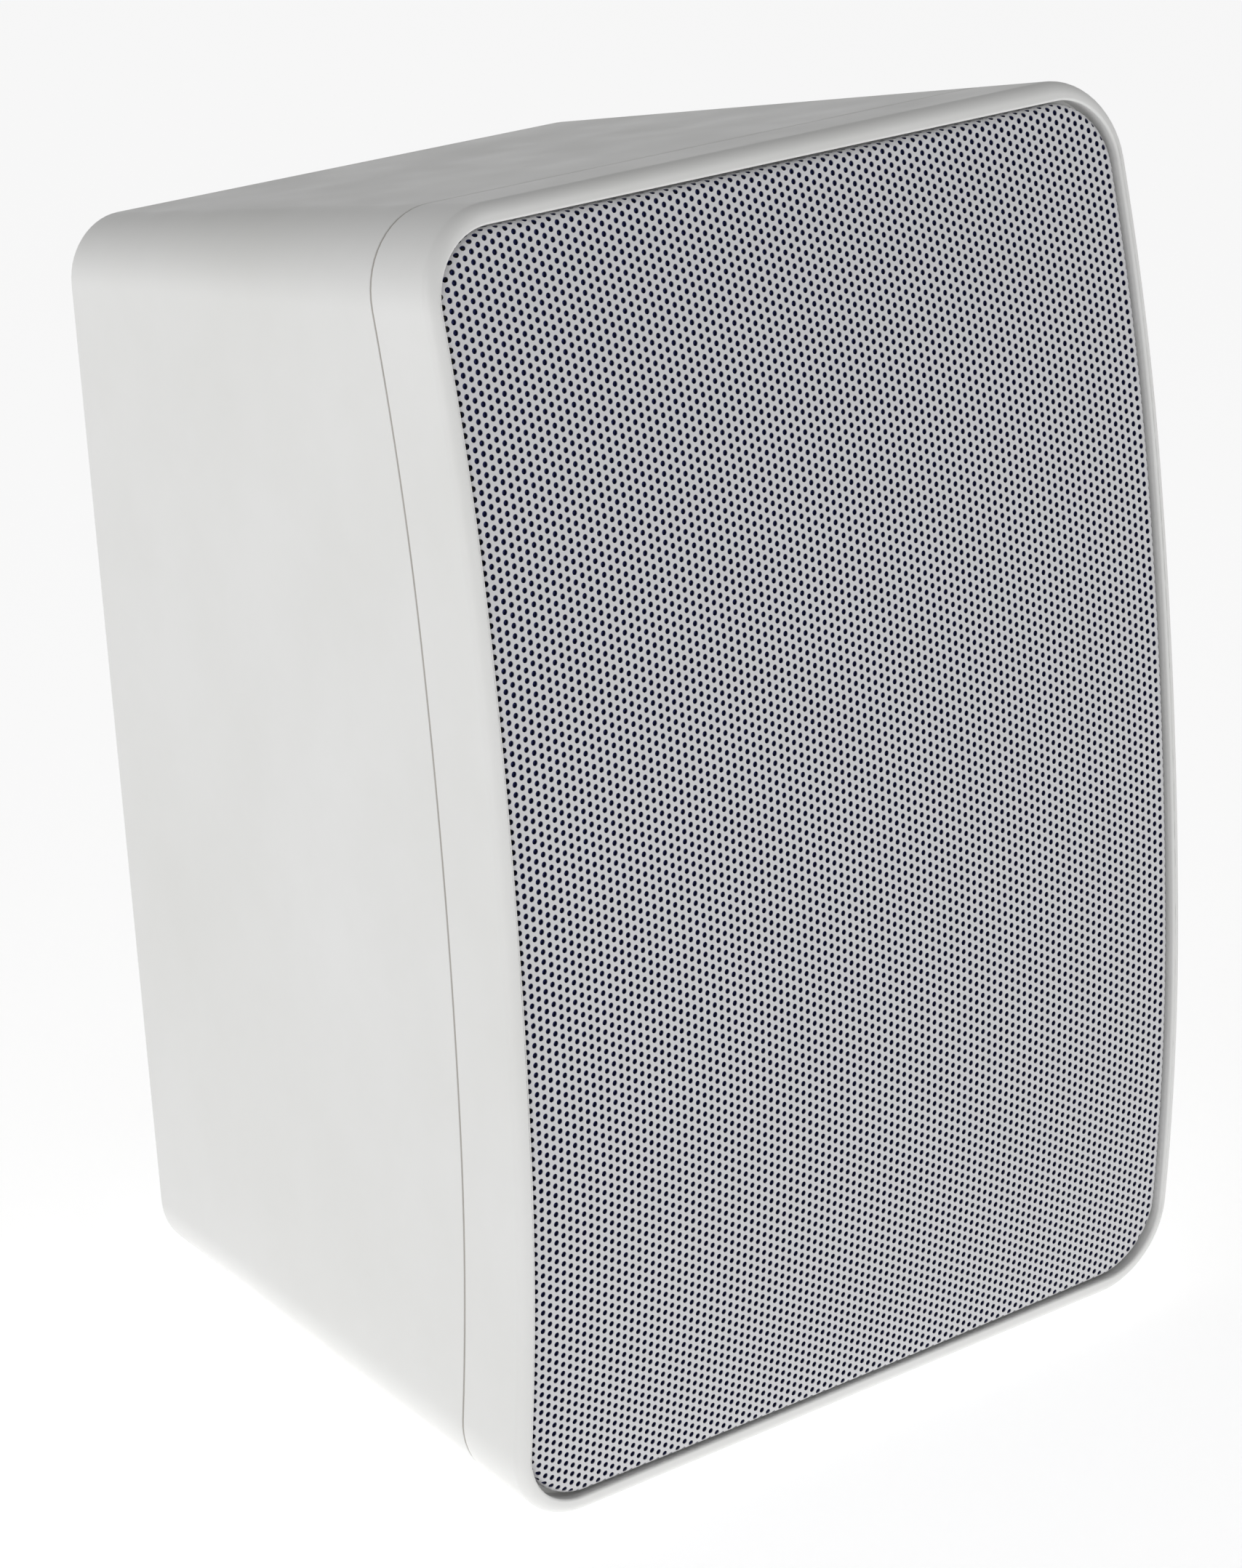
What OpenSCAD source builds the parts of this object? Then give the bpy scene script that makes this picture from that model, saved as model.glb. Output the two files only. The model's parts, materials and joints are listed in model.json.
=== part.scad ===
// Two-way bookshelf speaker: moulded tapering cabinet, bowed steel grille, woofer, dome tweeter.
// The cabinet stands on its sloping underside, so the whole design leans back by the taper.

/* [Cabinet] */
// Width over the front frame
cab_w = 183; // [170:1:200]
// Height over the front frame
cab_h = 264; // [255:1:280]
// Depth from the crown of the front to the flat back
cab_d = 154; // [145:1:175]
// Angle by which each of the four walls closes in towards the back
taper = 7.1; // [6:0.1:8.5]
// Outside radius of the four long edges at the front frame
corner_r = 18; // [17:0.5:22]
// Outside radius of the four long edges at the back
rear_corner_r = 13; // [10:0.5:16]
// Thickness of the moulded walls
wall = 3.2; // [2.5:0.1:4]
// Depth of the front frame, measured back from the bowed front
seam_d = 21.5; // [21:0.5:24]
// Width of the seam between frame and rear shell
seam_gap = 0.5; // [0.3:0.1:1]

/* [Grille] */
// Width of the frame's lip on the two sides
lip_side = 3.1; // [2.5:0.1:5]
// Width of the frame's lip at top and bottom
lip_end = 4.1; // [3:0.1:5]
// Gap between grille and frame
grille_gap = 0.35; // [0.2:0.05:0.8]
// How far the grille lies behind the frame's face
grille_recess = 0.5; // [0.2:0.1:1.5]
// Thickness of the grille's sheet steel
grille_t = 1.0; // [0.8:0.1:1.5]
// Depth of the grille's turned-in edge
grille_edge = 4.4; // [3:0.1:4.4]
// Thickness of the cloth behind the grille
cloth_t = 0.8; // [0.5:0.1:1.2]

/* [Woofer] */
// Radius of the woofer's basket
woofer_r = 66.5; // [64:0.5:68]
// Height of the woofer's axis from the middle of the cabinet
woofer_z = -38; // [-42:1:-36]
// Outside radius of the voice coil's former
coil_r = 13; // [12.8:0.1:13.2]
// Travel of the cone each way
woofer_travel = 4; // [2:0.5:4.5]

/* [Tweeter] */
// Radius of the tweeter's faceplate
tweeter_r = 39; // [38:0.5:40]
// Height of the tweeter's axis from the middle of the cabinet
tweeter_z = 80; // [79:0.5:81]
// Radius of the silk dome
dome_r = 12.6; // [12.4:0.1:12.6]

/* [Back] */
// Radius of the bass port's bore
port_r = 18; // [15:0.5:19]
// Length of the bass port
port_len = 58; // [40:1:60]
// Height of the port's axis from the middle of the cabinet
port_z = 78; // [76:1:80]
// Height of the terminal cup's middle from the middle of the cabinet
cup_z = -58; // [-60:1:-57]
// Bore radius of the bracket inserts, M6 before tapping
insert_bore_r = 2.5; // [2:0.1:3]
// Distance between the two bracket inserts
insert_pitch = 70; // [68:1:74]
// Height of the rubber feet
foot_h = 3; // [2:0.5:5]

/* [Hidden] */

white = "#EBEBE9";
black = "#1E1E20";
$fn = 64;
cut = 1;                     // how far a cutting solid runs past the faces it cuts
far = 400;                   // larger than the cabinet, for cutting solids

// Bow of the front, seen from the side: a flat crown that curves harder towards both ends
crown_z = 50;
crown_r = 1000;
end_r = 518;
bow_steps = 16;              // straight pieces from the middle to one end of the bow
function bow(z) = let (a = abs(z), b = a - crown_z)
    a <= crown_z ? a * a / (2 * crown_r)
                 : crown_z * crown_z / (2 * crown_r) + b * crown_z / crown_r + b * b / (2 * end_r);

slope = tan(taper);
half_w = cab_w / 2;
half_h = cab_h / 2;
rear_half_w = half_w - cab_d * slope;
rear_half_h = half_h - (cab_d - bow(half_h)) * slope;
back_t = 3.5;                // thickness of the flat back wall
back_in = cab_d - back_t;    // inside face of the back wall

// Grille opening and the ledge that the grille's edge rests on
open_w = half_w - lip_side;
open_h = half_h - lip_end;
open_r = 14;
ledge_w = 4;
ledge_d = 5;
baffle_y = 17;               // front face of the flat baffle plate
baffle_t = 4.5;
baffle_back = baffle_y + baffle_t;
seat_d = 3;                  // depth of the seats that the two drivers sink into
driver_gasket_t = 0.5;
flange_t = seat_d - driver_gasket_t;

screw_clear = 0.05;          // gap between a screw's shank and the hole it cuts its thread in
fit_gap = 0.05;              // running or assembly gap between round parts

// Places of the screws that hold the two cabinet halves together, as [x, z]
cab_screw_xz = [for (sx = [-1, 1], p = [[78.5, 110], [79, 10], [78.5, -110]]) [sx * p[0], p[1]]];
cab_boss_r = 4.5;
cab_screw_len = 24;

// ---------- placing ----------

// The lean turns the cabinet about its width; the lift brings the feet's soles to the floor
hull_slice = 0.4;            // thickness of the two end slices that the cabinet's form spans
under_z = (half_h + (bow(half_h) + hull_slice) * slope) * cos(taper);
function world_y(y, z) = y * cos(taper) + z * sin(taper);
front_y = min([for (z = [-half_h : 1 : 0]) world_y(bow(z), z)]);
rear_y = world_y(cab_d, rear_half_h);
centre_y = (front_y + rear_y) / 2;

module stand() translate([0, -centre_y, under_z + foot_h]) rotate([-taper, 0, 0]) children();

// Local +Z turned to point straight back into the cabinet
module facing_back(y, z, x = 0) translate([x, y, z]) rotate([-90, 0, 0]) children();

module woofer_at() stand() facing_back(baffle_y, woofer_z) children();
module tweeter_at() stand() facing_back(baffle_y, tweeter_z) children();

// ---------- shared shapes ----------

module disc(r, h, r_in = 0) difference() {
    cylinder(r = r, h = h);
    if (r_in > 0) translate([0, 0, -cut]) cylinder(r = r_in, h = h + 2 * cut);
}

// Box from one corner to the opposite one
module span(a, b) translate(a) cube(b - a);

// Rounded rectangle of half sizes w and h, standing upright from depth y0 to y1
module upright_plate(w, h, r, y0, y1) translate([0, y1, 0]) rotate([90, 0, 0])
    linear_extrude(y1 - y0) {
        square([2 * w, 2 * (h - r)], center = true);
        square([2 * (w - r), 2 * h], center = true);
        for (sx = [-1, 1], sz = [-1, 1]) translate([sx * (w - r), sz * (h - r)]) circle(r);
    }

// Slice between two copies of the bowed front, d0 and d1 behind it
module bow_slice(d0, d1) {
    reach = half_h + 20;
    zs = [for (i = [-bow_steps : bow_steps]) i * reach / bow_steps];
    n = len(zs);
    translate([-far / 2, 0, 0]) rotate([90, 0, 90]) linear_extrude(far)
        polygon(concat([for (z = zs) [bow(z) + d0, z]],
                       [for (i = [n - 1 : -1 : 0]) [bow(zs[i]) + d1, zs[i]]]));
}

// Everything behind a copy of the bowed front, as far as depth y1
module behind_bow(d0, y1) {
    reach = half_h + 20;
    zs = [for (i = [-bow_steps : bow_steps]) i * reach / bow_steps];
    translate([-far / 2, 0, 0]) rotate([90, 0, 90]) linear_extrude(far)
        polygon(concat([for (z = zs) [bow(z) + d0, z]], [[y1, reach], [y1, -reach]]));
}

// The cabinet's whole outer form, or the same form moved inwards by inset
module cab_form(inset = 0, rear = cab_d) {
    k = (rear - cab_d) * slope;
    hull() {
        intersection() {
            upright_plate(half_w - inset, half_h - inset, corner_r - inset, -cut, 60, $fn = 32);
            bow_slice(0, hull_slice);
        }
        upright_plate(rear_half_w - inset - k, rear_half_h - inset - k, rear_corner_r - inset,
                      rear - hull_slice, rear, $fn = 32);
    }
}

// Eight-sided tube swept along the points of a route, with a mitred ring at each bend
function unit(v) = v / norm(v);
function along(pts, i) = unit(i == 0 ? pts[1] - pts[0]
    : i == len(pts) - 1 ? pts[i] - pts[i - 1]
    : unit(pts[i + 1] - pts[i]) + unit(pts[i] - pts[i - 1]));
function ring(p, dir, r, sides) = let (u = unit(cross(dir, [0.3, 0.1, 1])), v = cross(dir, u))
    [for (k = [0 : sides - 1]) p + r * (cos(k * 360 / sides) * u + sin(k * 360 / sides) * v)];
module wire(pts, r, sides = 8) {
    n = len(pts);
    last = (n - 1) * sides;
    polyhedron(
        [for (i = [0 : n - 1]) each ring(pts[i], along(pts, i), r, sides)],
        concat([[for (k = [0 : sides - 1]) k]], [[for (k = [sides - 1 : -1 : 0]) last + k]],
            [for (i = [0 : n - 2], k = [0 : sides - 1]) let (a = i * sides, b = (k + 1) % sides)
                each [[a + b, a + k, a + sides + k], [a + b, a + sides + k, a + sides + b]]]));
}

// Pan-head screw along +Z with the underside of its head at z = 0
module pan_screw(r, len, head_r, head_h) {
    cylinder(r = r, h = len);
    translate([0, 0, -head_h]) difference() {
        cylinder(r = head_r, h = head_h);
        for (a = [0, 90]) rotate(a) translate([-head_r * 0.6, -0.4, -cut])
            cube([head_r * 1.2, 0.8, cut + head_h * 0.5]);
    }
}

// ---------- cabinet ----------

// Columns that the driver screws bite into
module screw_posts(pcr, n, start, r, len)
    for (i = [0 : n - 1]) rotate(start + i * 360 / n) translate([pcr, 0, 0]) cylinder(r = r, h = len);

woofer_screw_pcr = 62;
woofer_screw_len = 16;
tweeter_screw_pcr = 34.5;
tweeter_screw_len = 12;
woofer_screw_r = 1.75;
tweeter_screw_r = 1.5;
post_r = 3.6;
post_floor = 1.5;            // plastic left beyond the tip of a screw
woofer_hole_r = 57;          // openings in the baffle that the drivers' bodies pass through
tweeter_hole_r = 31;
seat_gap = 0.2;              // gap around a part that sits in a seat
cab_screw_r = 1.9;

module front_baffle() color(white) stand() difference() {
    union() {
        difference() {
            intersection() { cab_form(); bow_slice(0, seam_d); }
            intersection() {
                upright_plate(open_w, open_h, open_r, -cut, 60);
                bow_slice(-10, ledge_d);
            }
            upright_plate(open_w - ledge_w, open_h - ledge_w, open_r - ledge_w, -cut, baffle_y);
            intersection() {
                cab_form(wall);
                span([-far / 2, baffle_back, -far / 2], [far / 2, cab_d, far / 2]);
            }
        }
        facing_back(baffle_back - cut, woofer_z)
            screw_posts(woofer_screw_pcr, 4, 45, post_r,
                        cut + woofer_screw_len + post_floor - baffle_t);
        facing_back(baffle_back - cut, tweeter_z)
            screw_posts(tweeter_screw_pcr, 4, 45, post_r,
                        cut + tweeter_screw_len + post_floor - baffle_t);
    }
    facing_back(baffle_y - cut, woofer_z) {
        cylinder(r = woofer_r + seat_gap, h = cut + seat_d);
        cylinder(r = woofer_hole_r, h = far);
        screw_posts(woofer_screw_pcr, 4, 45, woofer_screw_r + screw_clear, cut + woofer_screw_len);
    }
    facing_back(baffle_y - cut, tweeter_z) {
        cylinder(r = tweeter_r + seat_gap, h = cut + seat_d);
        cylinder(r = tweeter_hole_r, h = far);
        screw_posts(tweeter_screw_pcr, 4, 45, tweeter_screw_r + screw_clear, cut + tweeter_screw_len);
    }
    for (p = cab_screw_xz) facing_back(baffle_y - cut, p[1], p[0]) cylinder(r = cab_screw_r + 0.3, h = 20);
}

board_z = 8;
board_half = [45, 28];
board_y = 138;               // front face of the board
board_t = 1.6;
board_screw_xz = [for (sx = [-1, 1], sz = [-1, 1]) [sx * 40.5, board_z + sz * 23.5]];
insert_z = 46;
insert_len = 12;
insert_r = 4.4;
port_flange_r = 27;
port_wall = 2;
rear_flange_t = 2;           // flanges of the port and the cup lie flush in the back wall
cup_half = [26, 24];         // outside of the cup's well
cup_flange = 5;              // how far its flange reaches past the well
cup_screw_xz = [for (sx = [-1, 1], sz = [-1, 1])
    [sx * (cup_half[0] + 1.5), cup_z + sz * (cup_half[1] + 1.5)]];
cup_screw_r = 1.25;
board_screw_r = 1.2;

module rear_shell() color(white) stand() difference() {
    union() {
        difference() {
            intersection() { cab_form(); behind_bow(seam_d + seam_gap, cab_d + cut); }
            cab_form(wall, back_in);
        }
        intersection() {
            for (p = cab_screw_xz) facing_back(baffle_back, p[1], p[0])
                cylinder(r = cab_boss_r, h = 44);
            cab_form(wall / 2);
        }
        for (p = board_screw_xz) facing_back(board_y + board_t, p[1], p[0])
            cylinder(r = 3.5, h = back_in + cut - board_y - board_t);
        for (sx = [-1, 1]) facing_back(cab_d - insert_len - 2, insert_z, sx * insert_pitch / 2)
            cylinder(r = insert_r + 2.6, h = insert_len - 1);
    }
    for (p = cab_screw_xz) facing_back(baffle_back - cut, p[1], p[0])
        cylinder(r = cab_screw_r + screw_clear, h = cab_screw_len);
    for (p = board_screw_xz) facing_back(board_y, p[1], p[0])
        cylinder(r = board_screw_r + screw_clear, h = 10);
    for (sx = [-1, 1]) facing_back(cab_d - insert_len, insert_z, sx * insert_pitch / 2)
        cylinder(r = insert_r + fit_gap, h = insert_len + cut);
    facing_back(cab_d - rear_flange_t, port_z)
        cylinder(r = port_flange_r + seat_gap, h = rear_flange_t + cut);
    facing_back(back_in - cut, port_z)
        cylinder(r = port_r + port_wall + seat_gap, h = back_t + 2 * cut);
    translate([0, 0, cup_z]) {
        upright_plate(cup_half[0] + cup_flange + seat_gap, cup_half[1] + cup_flange + seat_gap, 4,
                      cab_d - rear_flange_t, cab_d + cut);
        upright_plate(cup_half[0] + seat_gap, cup_half[1] + seat_gap, 3, back_in - cut, cab_d + cut);
    }
    for (p = cup_screw_xz) facing_back(back_in - cut, p[1], p[0])
        cylinder(r = cup_screw_r + screw_clear, h = back_t + cut);
}

module cabinet_gasket() color("#8C8C88") stand() intersection() {
    difference() { cab_form(0.5); cab_form(wall); }
    bow_slice(seam_d, seam_d + seam_gap);
}

module cabinet_screws() color("#3A3A3C") stand()
    for (p = cab_screw_xz) facing_back(baffle_y, p[1], p[0]) 
        pan_screw(cab_screw_r, cab_screw_len, 3.7, 2.4);

module rubber_feet() color("#C9C9C6") {
    foot_r = 6.5;
    // floor places of the front and rear pair, as [x, y]
    for (sx = [-1, 1], p = [[62, -72], [48, 38]]) translate([sx * p[0], p[1], 0]) {
        cylinder(r1 = foot_r - 1, r2 = foot_r, h = 1);
        translate([0, 0, 1]) cylinder(r = foot_r, h = foot_h - 1);
    }
}

// ---------- grille ----------

grille_w = open_w - grille_gap;
grille_h = open_h - grille_gap;
grille_r = open_r + 1.2;

module grille_panel() color("#D6D6DA") stand() difference() {
    intersection() {
        upright_plate(grille_w, grille_h, grille_r, -cut, 60);
        bow_slice(grille_recess, grille_recess + grille_edge);
    }
    intersection() {
        upright_plate(grille_w - grille_t, grille_h - grille_t, grille_r - grille_t, -cut, 60);
        bow_slice(grille_recess + grille_t, 60);
    }
}

cloth_in = grille_t + 0.3;   // how far the cloth's edge lies inside the grille's outline

module grille_cloth() color("#20204A") stand() intersection() {
    upright_plate(grille_w - cloth_in, grille_h - cloth_in, grille_r - cloth_in, -cut, 60);
    bow_slice(grille_recess + grille_t, grille_recess + grille_t + cloth_t);
}

// ---------- woofer: z = 0 is the front of the basket's flange, +Z points back ----------

cone_r = 47;                 // outside radius of the cone
roll_r = 4.5;                // radius of the surround's half roll
roll_mid = 51.5;             // radius at which the roll's middle runs
soft_t = 0.6;                // thickness of rubber and spider
neck_z = 18;                 // depth of the cone's neck
shelf_z = 26;                // depth of the spider's landing
shelf_r = 40;
pot_z = 38;                  // depth of the top plate's front
top_plate_t = 6;
magnet_t = 14;
yoke_t = 6;
pole_r = coil_r - 0.8;
gap_r = coil_r + 1.2;        // inside radius of the magnetic gap
plate_r = 38;

module woofer_basket() color("#2B2B2E") woofer_at() difference() {
    union() {
        disc(woofer_r, flange_t, 55.5);
        rotate_extrude() polygon([[55.5, 0], [56.8, 0], [56.8, 5], [shelf_r + 4, shelf_z - 2],
            [shelf_r + 4, pot_z - 8], [plate_r + 1, pot_z - 1], [plate_r + 1, pot_z], [18, pot_z],
            [18, pot_z - 1.6], [plate_r - 1, pot_z - 1.6], [shelf_r + 2, pot_z - 9],
            [shelf_r + 2, shelf_z + 1.6], [shelf_r - 3, shelf_z + 1.6], [shelf_r - 3, shelf_z],
            [shelf_r + 2, shelf_z], [shelf_r + 2, shelf_z - 3], [55, 5]]);
    }
    for (i = [0 : 5]) rotate(i * 60 + 30) translate([0, -11, 8]) cube([70, 22, 15]);
    for (i = [0 : 5]) rotate(i * 60 + 30) translate([plate_r - 4, -8, shelf_z + 3]) cube([30, 16, 6]);
    screw_posts(woofer_screw_pcr, 4, 45, 2.2, 10);
}

module woofer_gasket() color("#2A2A2A") woofer_at() translate([0, 0, flange_t])
    difference() {
        disc(woofer_r, driver_gasket_t, 57.5);
        screw_posts(woofer_screw_pcr, 4, 45, 2.2, 3);
    }

module woofer_surround() color("#18181A") woofer_at() rotate_extrude() {
    difference() {
        translate([roll_mid, 0]) circle(roll_r);
        translate([roll_mid, 0]) circle(roll_r - soft_t);
        translate([roll_mid - 10, 0]) square([20, 20]);
    }
    translate([roll_mid + roll_r - soft_t, -soft_t]) square([2.9, soft_t]);
    translate([cone_r - 3, -soft_t]) square([roll_mid - roll_r + soft_t - cone_r + 3, soft_t]);
}

module woofer_cone() color("#26262A") woofer_at() rotate_extrude()
    polygon([[cone_r, 0], [cone_r, 0.8], [43.6, 0.8], [coil_r + 1.6, neck_z], [coil_r + 0.1, neck_z],
             [coil_r + 0.1, neck_z - 1.2], [43, 0]]);

module dust_cap() color("#1C1C1F") woofer_at() {
    cap_r = 17;
    ball_r = 24;
    // the cap's rim rests on the cone's face at the depth where the cone is cap_r wide
    rim_z = (neck_z - 1.2) * (43 - cap_r) / (43 - coil_r - 0.1) - 0.1;
    ball_z = rim_z + sqrt(ball_r * ball_r - cap_r * cap_r);
    difference() {
        translate([0, 0, ball_z]) sphere(ball_r);
        translate([0, 0, ball_z]) sphere(ball_r - soft_t);
        translate([-far / 2, -far / 2, rim_z]) cube(far);
    }
}

module voice_coil_former() color("#B9A36A") woofer_at() translate([0, 0, neck_z - 4])
    disc(coil_r, 32, coil_r - 0.3);

// Winding that overhangs the gap by half of the travel at each end
module voice_coil() color("#B5652D") woofer_at() translate([0, 0, pot_z - woofer_travel / 2])
    disc(coil_r + 0.65, top_plate_t + woofer_travel, coil_r);

// Corrugated disc, one ring after another, up and down
module spider() color("#C79A4B") woofer_at() translate([0, 0, shelf_z - soft_t]) {
    rings = 7;
    ring_w = (shelf_r - 4.5 - coil_r) / rings;
    disc(shelf_r + 1, soft_t, shelf_r - 4.5);
    for (i = [0 : rings - 1]) {
        r0 = coil_r + fit_gap + i * ring_w;
        lift = i % 2 == 0 ? 0 : -1.2;
        translate([0, 0, lift]) disc(r0 + ring_w, soft_t, r0);
        translate([0, 0, -1.2]) disc(r0 + ring_w, 1.2 + soft_t, r0 + ring_w - soft_t);
    }
}

module woofer_top_plate() color("#A8A8AC") woofer_at() translate([0, 0, pot_z])
    disc(plate_r, top_plate_t, gap_r);

module woofer_magnet() color("#37373A") woofer_at() translate([0, 0, pot_z + top_plate_t])
    disc(41.5, magnet_t, 20);

module woofer_yoke() color("#A8A8AC") woofer_at() difference() {
    union() {
        translate([0, 0, pot_z + top_plate_t + magnet_t]) cylinder(r = plate_r, h = yoke_t);
        translate([0, 0, pot_z]) cylinder(r = pole_r, h = top_plate_t + magnet_t + cut);
    }
    translate([0, 0, pot_z - cut]) cylinder(r = 4, h = far);
}

module woofer_screws() color("#3A3A3C") woofer_at() for (i = [0 : 3]) rotate(45 + i * 90)
    translate([woofer_screw_pcr, 0, 0]) pan_screw(woofer_screw_r, woofer_screw_len, 3.5, 2.2);

// ---------- tweeter: z = 0 is the faceplate's front, +Z points back ----------

dome_foot_z = 3.6;           // depth of the dome's edge
t_plate_z = 5;
t_plate_t = 3;
t_magnet_t = 8;
t_yoke_t = 3;
t_plate_r = 29;

module tweeter_faceplate() color("#232326") tweeter_at() difference() {
    union() {
        cylinder(r = tweeter_r, h = flange_t);
        translate([0, 0, flange_t - 0.1]) cylinder(r = 30.5, h = t_plate_z - flange_t + 0.1);
    }
    translate([0, 0, -cut]) cylinder(r1 = 26, r2 = 18, h = t_plate_z);
    translate([0, 0, -cut]) cylinder(r = 18, h = far);
    screw_posts(tweeter_screw_pcr, 4, 45, 1.8, 10);
}

module tweeter_gasket() color("#2A2A2A") tweeter_at() translate([0, 0, flange_t]) difference() {
    disc(tweeter_r, driver_gasket_t, 31.2);
    translate([0, 0, -cut]) screw_posts(tweeter_screw_pcr, 4, 45, 1.8, 3);
}

module tweeter_dome() color("#1A1A1C") tweeter_at() {
    ball_r = 15.5;
    skin = 0.3;
    ball_z = dome_foot_z + sqrt(ball_r * ball_r - dome_r * dome_r);
    difference() {
        translate([0, 0, ball_z]) sphere(ball_r);
        translate([0, 0, ball_z]) sphere(ball_r - skin);
        translate([-far / 2, -far / 2, dome_foot_z]) cube(far);
    }
}

module tweeter_surround() color("#1A1A1C") tweeter_at() rotate_extrude() {
    mid = dome_r + 2.1;
    translate([mid, dome_foot_z]) difference() {
        circle(1.9);
        circle(1.6);
        translate([-5, 0]) square([10, 5]);
    }
    translate([mid + 1.6, dome_foot_z]) square([1.6, 0.3]);
}

module tweeter_coil() color("#B5652D") tweeter_at() translate([0, 0, dome_foot_z])
    disc(dome_r + 0.3, 5, dome_r - 0.1);

module tweeter_top_plate() color("#A8A8AC") tweeter_at() translate([0, 0, t_plate_z])
    disc(t_plate_r, t_plate_t, dome_r + 0.9);

module tweeter_magnet() color("#37373A") tweeter_at() translate([0, 0, t_plate_z + t_plate_t])
    disc(t_plate_r + 1, t_magnet_t, 17);

module tweeter_yoke() color("#A8A8AC") tweeter_at() {
    translate([0, 0, t_plate_z + t_plate_t + t_magnet_t]) cylinder(r = t_plate_r, h = t_yoke_t);
    translate([0, 0, t_plate_z]) cylinder(r = dome_r - 0.6, h = t_plate_t + t_magnet_t + cut);
}

module tweeter_screws() color("#3A3A3C") tweeter_at() for (i = [0 : 3]) rotate(45 + i * 90)
    translate([tweeter_screw_pcr, 0, 0]) pan_screw(tweeter_screw_r, tweeter_screw_len, 3, 1.9);

// ---------- port, foam, inserts ----------

module bass_port() color(black) stand() facing_back(cab_d - port_len, port_z) {
    flare_len = 10;          // the bore opens a little, then turns out through the flange
    flare_r = port_r + 1.2;
    flange_z = port_len - rear_flange_t;
    difference() {
        union() {
            cylinder(r = port_r + port_wall, h = port_len);
            translate([0, 0, flange_z]) cylinder(r = port_flange_r, h = rear_flange_t);
        }
        translate([0, 0, -cut]) cylinder(r = port_r, h = port_len + 2 * cut);
        translate([0, 0, flange_z - flare_len]) cylinder(r1 = port_r, r2 = flare_r, h = flare_len);
        translate([0, 0, flange_z]) cylinder(r1 = flare_r, r2 = flare_r + 3.6, h = rear_flange_t + cut / 4);
    }
}

module damping_foam() color("#55555A") stand() span([-58, 84, -92], [58, 115, 34]);

module bracket_inserts() color("#C2A24A") stand()
    for (sx = [-1, 1]) facing_back(cab_d - insert_len, insert_z, sx * insert_pitch / 2)
        disc(insert_r, insert_len, insert_bore_r);

// ---------- crossover ----------

module crossover_board() color("#2E6B3C") stand() difference() {
    translate([0, board_y, board_z])
        span([-board_half[0], 0, -board_half[1]], [board_half[0], board_t, board_half[1]]);
    for (p = board_screw_xz) facing_back(board_y - cut, p[1], p[0]) cylinder(r = 1.6, h = 4);
}

module inductor(x, z, r, h) {
    facing_back(board_y - h, z, x) {
        disc(r, h - 3, r * 0.45);
        translate([0, 0, h - 3]) disc(r, 3, r * 0.25);
    }
}

module woofer_inductor() color("#B06A35") stand() inductor(-20, board_z + 4, 15, 16);
module tweeter_inductor() color("#B06A35") stand() inductor(10, board_z - 12, 9, 12);

module capacitors() color("#3B5FA0") stand() for (z = [board_z + 20, board_z + 5])
    translate([6, board_y - 6.5, z]) rotate([0, 90, 0]) cylinder(r = 6.5, h = 24);

module resistor() color("#E6E1D6") stand()
    span([24, board_y - 9, board_z - 24], [33, board_y, board_z - 4]);

module board_screws() color("#9A9AA0") stand()
    for (p = board_screw_xz) facing_back(board_y, p[1], p[0]) pan_screw(board_screw_r, 9, 2.6, 1.8);

// ---------- terminals ----------

cup_t = 2;
cup_floor_y = 136;           // inner side of the cup's floor, towards the crossover
cup_floor_top = cup_floor_y + cup_t;
lever_x = 11;
pin_y = 146;
pin_z = cup_z + 14;
pin_r = 1;
lever_w = 8;
lever_len = 17;
ear_gap = 3;                 // from a lever's side to the middle of the ear beside it
wire_r = 2;
block_y = 146;               // face of the block that the wires enter
block_half_w = 20;
wire_z = cup_z - 12;
contact_half_w = 2.5;

module terminal_cup() color(black) stand() difference() {
    union() {
        difference() {
            union() {
                translate([0, 0, cup_z])
                    upright_plate(cup_half[0], cup_half[1], 3, cup_floor_y, cab_d);
                translate([0, 0, cup_z])
                    upright_plate(cup_half[0] + cup_flange, cup_half[1] + cup_flange, 4,
                                  cab_d - rear_flange_t, cab_d);
            }
            translate([0, 0, cup_z]) upright_plate(cup_half[0] - cup_t, cup_half[1] - cup_t, 2,
                cup_floor_top, cab_d + cut);
        }
        for (sx = [-1, 1], side = [-1, 1])
            span([sx * lever_x + side * (lever_w / 2 + ear_gap) - 1, cup_floor_top - cut, pin_z - 4],
                 [sx * lever_x + side * (lever_w / 2 + ear_gap) + 1, pin_y + 3, pin_z + 4]);
    }
    translate([-far / 2, pin_y, pin_z]) rotate([0, 90, 0]) cylinder(r = pin_r + 0.02, h = far);
    for (sx = [-1, 1])
        span([sx * lever_x - contact_half_w - 0.1, cup_floor_y - cut, cup_z + 3.4],
             [sx * lever_x + contact_half_w + 0.1, cup_floor_top + cut, cup_z + 4.6]);
    for (p = cup_screw_xz) facing_back(cab_d - 10, p[1], p[0]) cylinder(r = cup_screw_r + 0.25, h = 20);
}

// Block on the cup's floor with the two holes that take the bared wires
module terminal_block() color(black) stand() difference() {
    span([-block_half_w, cup_floor_top, wire_z - 8], [block_half_w, block_y, wire_z + 5]);
    for (sx = [-1, 1]) facing_back(cup_floor_top - cut, wire_z, sx * lever_x)
        cylinder(r = wire_r, h = 20);
}

module terminal_contacts() color("#C9A94F") stand() for (sx = [-1, 1]) translate([sx * lever_x, 0, 0]) {
    span([-contact_half_w, cup_floor_y - 9, cup_z + 3.6],
         [contact_half_w, cup_floor_top + 0.1, cup_z + 4.4]);
    span([-contact_half_w, cup_floor_top, cup_z - 4], [contact_half_w, cup_floor_top + 0.7, cup_z + 8]);
}

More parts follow.
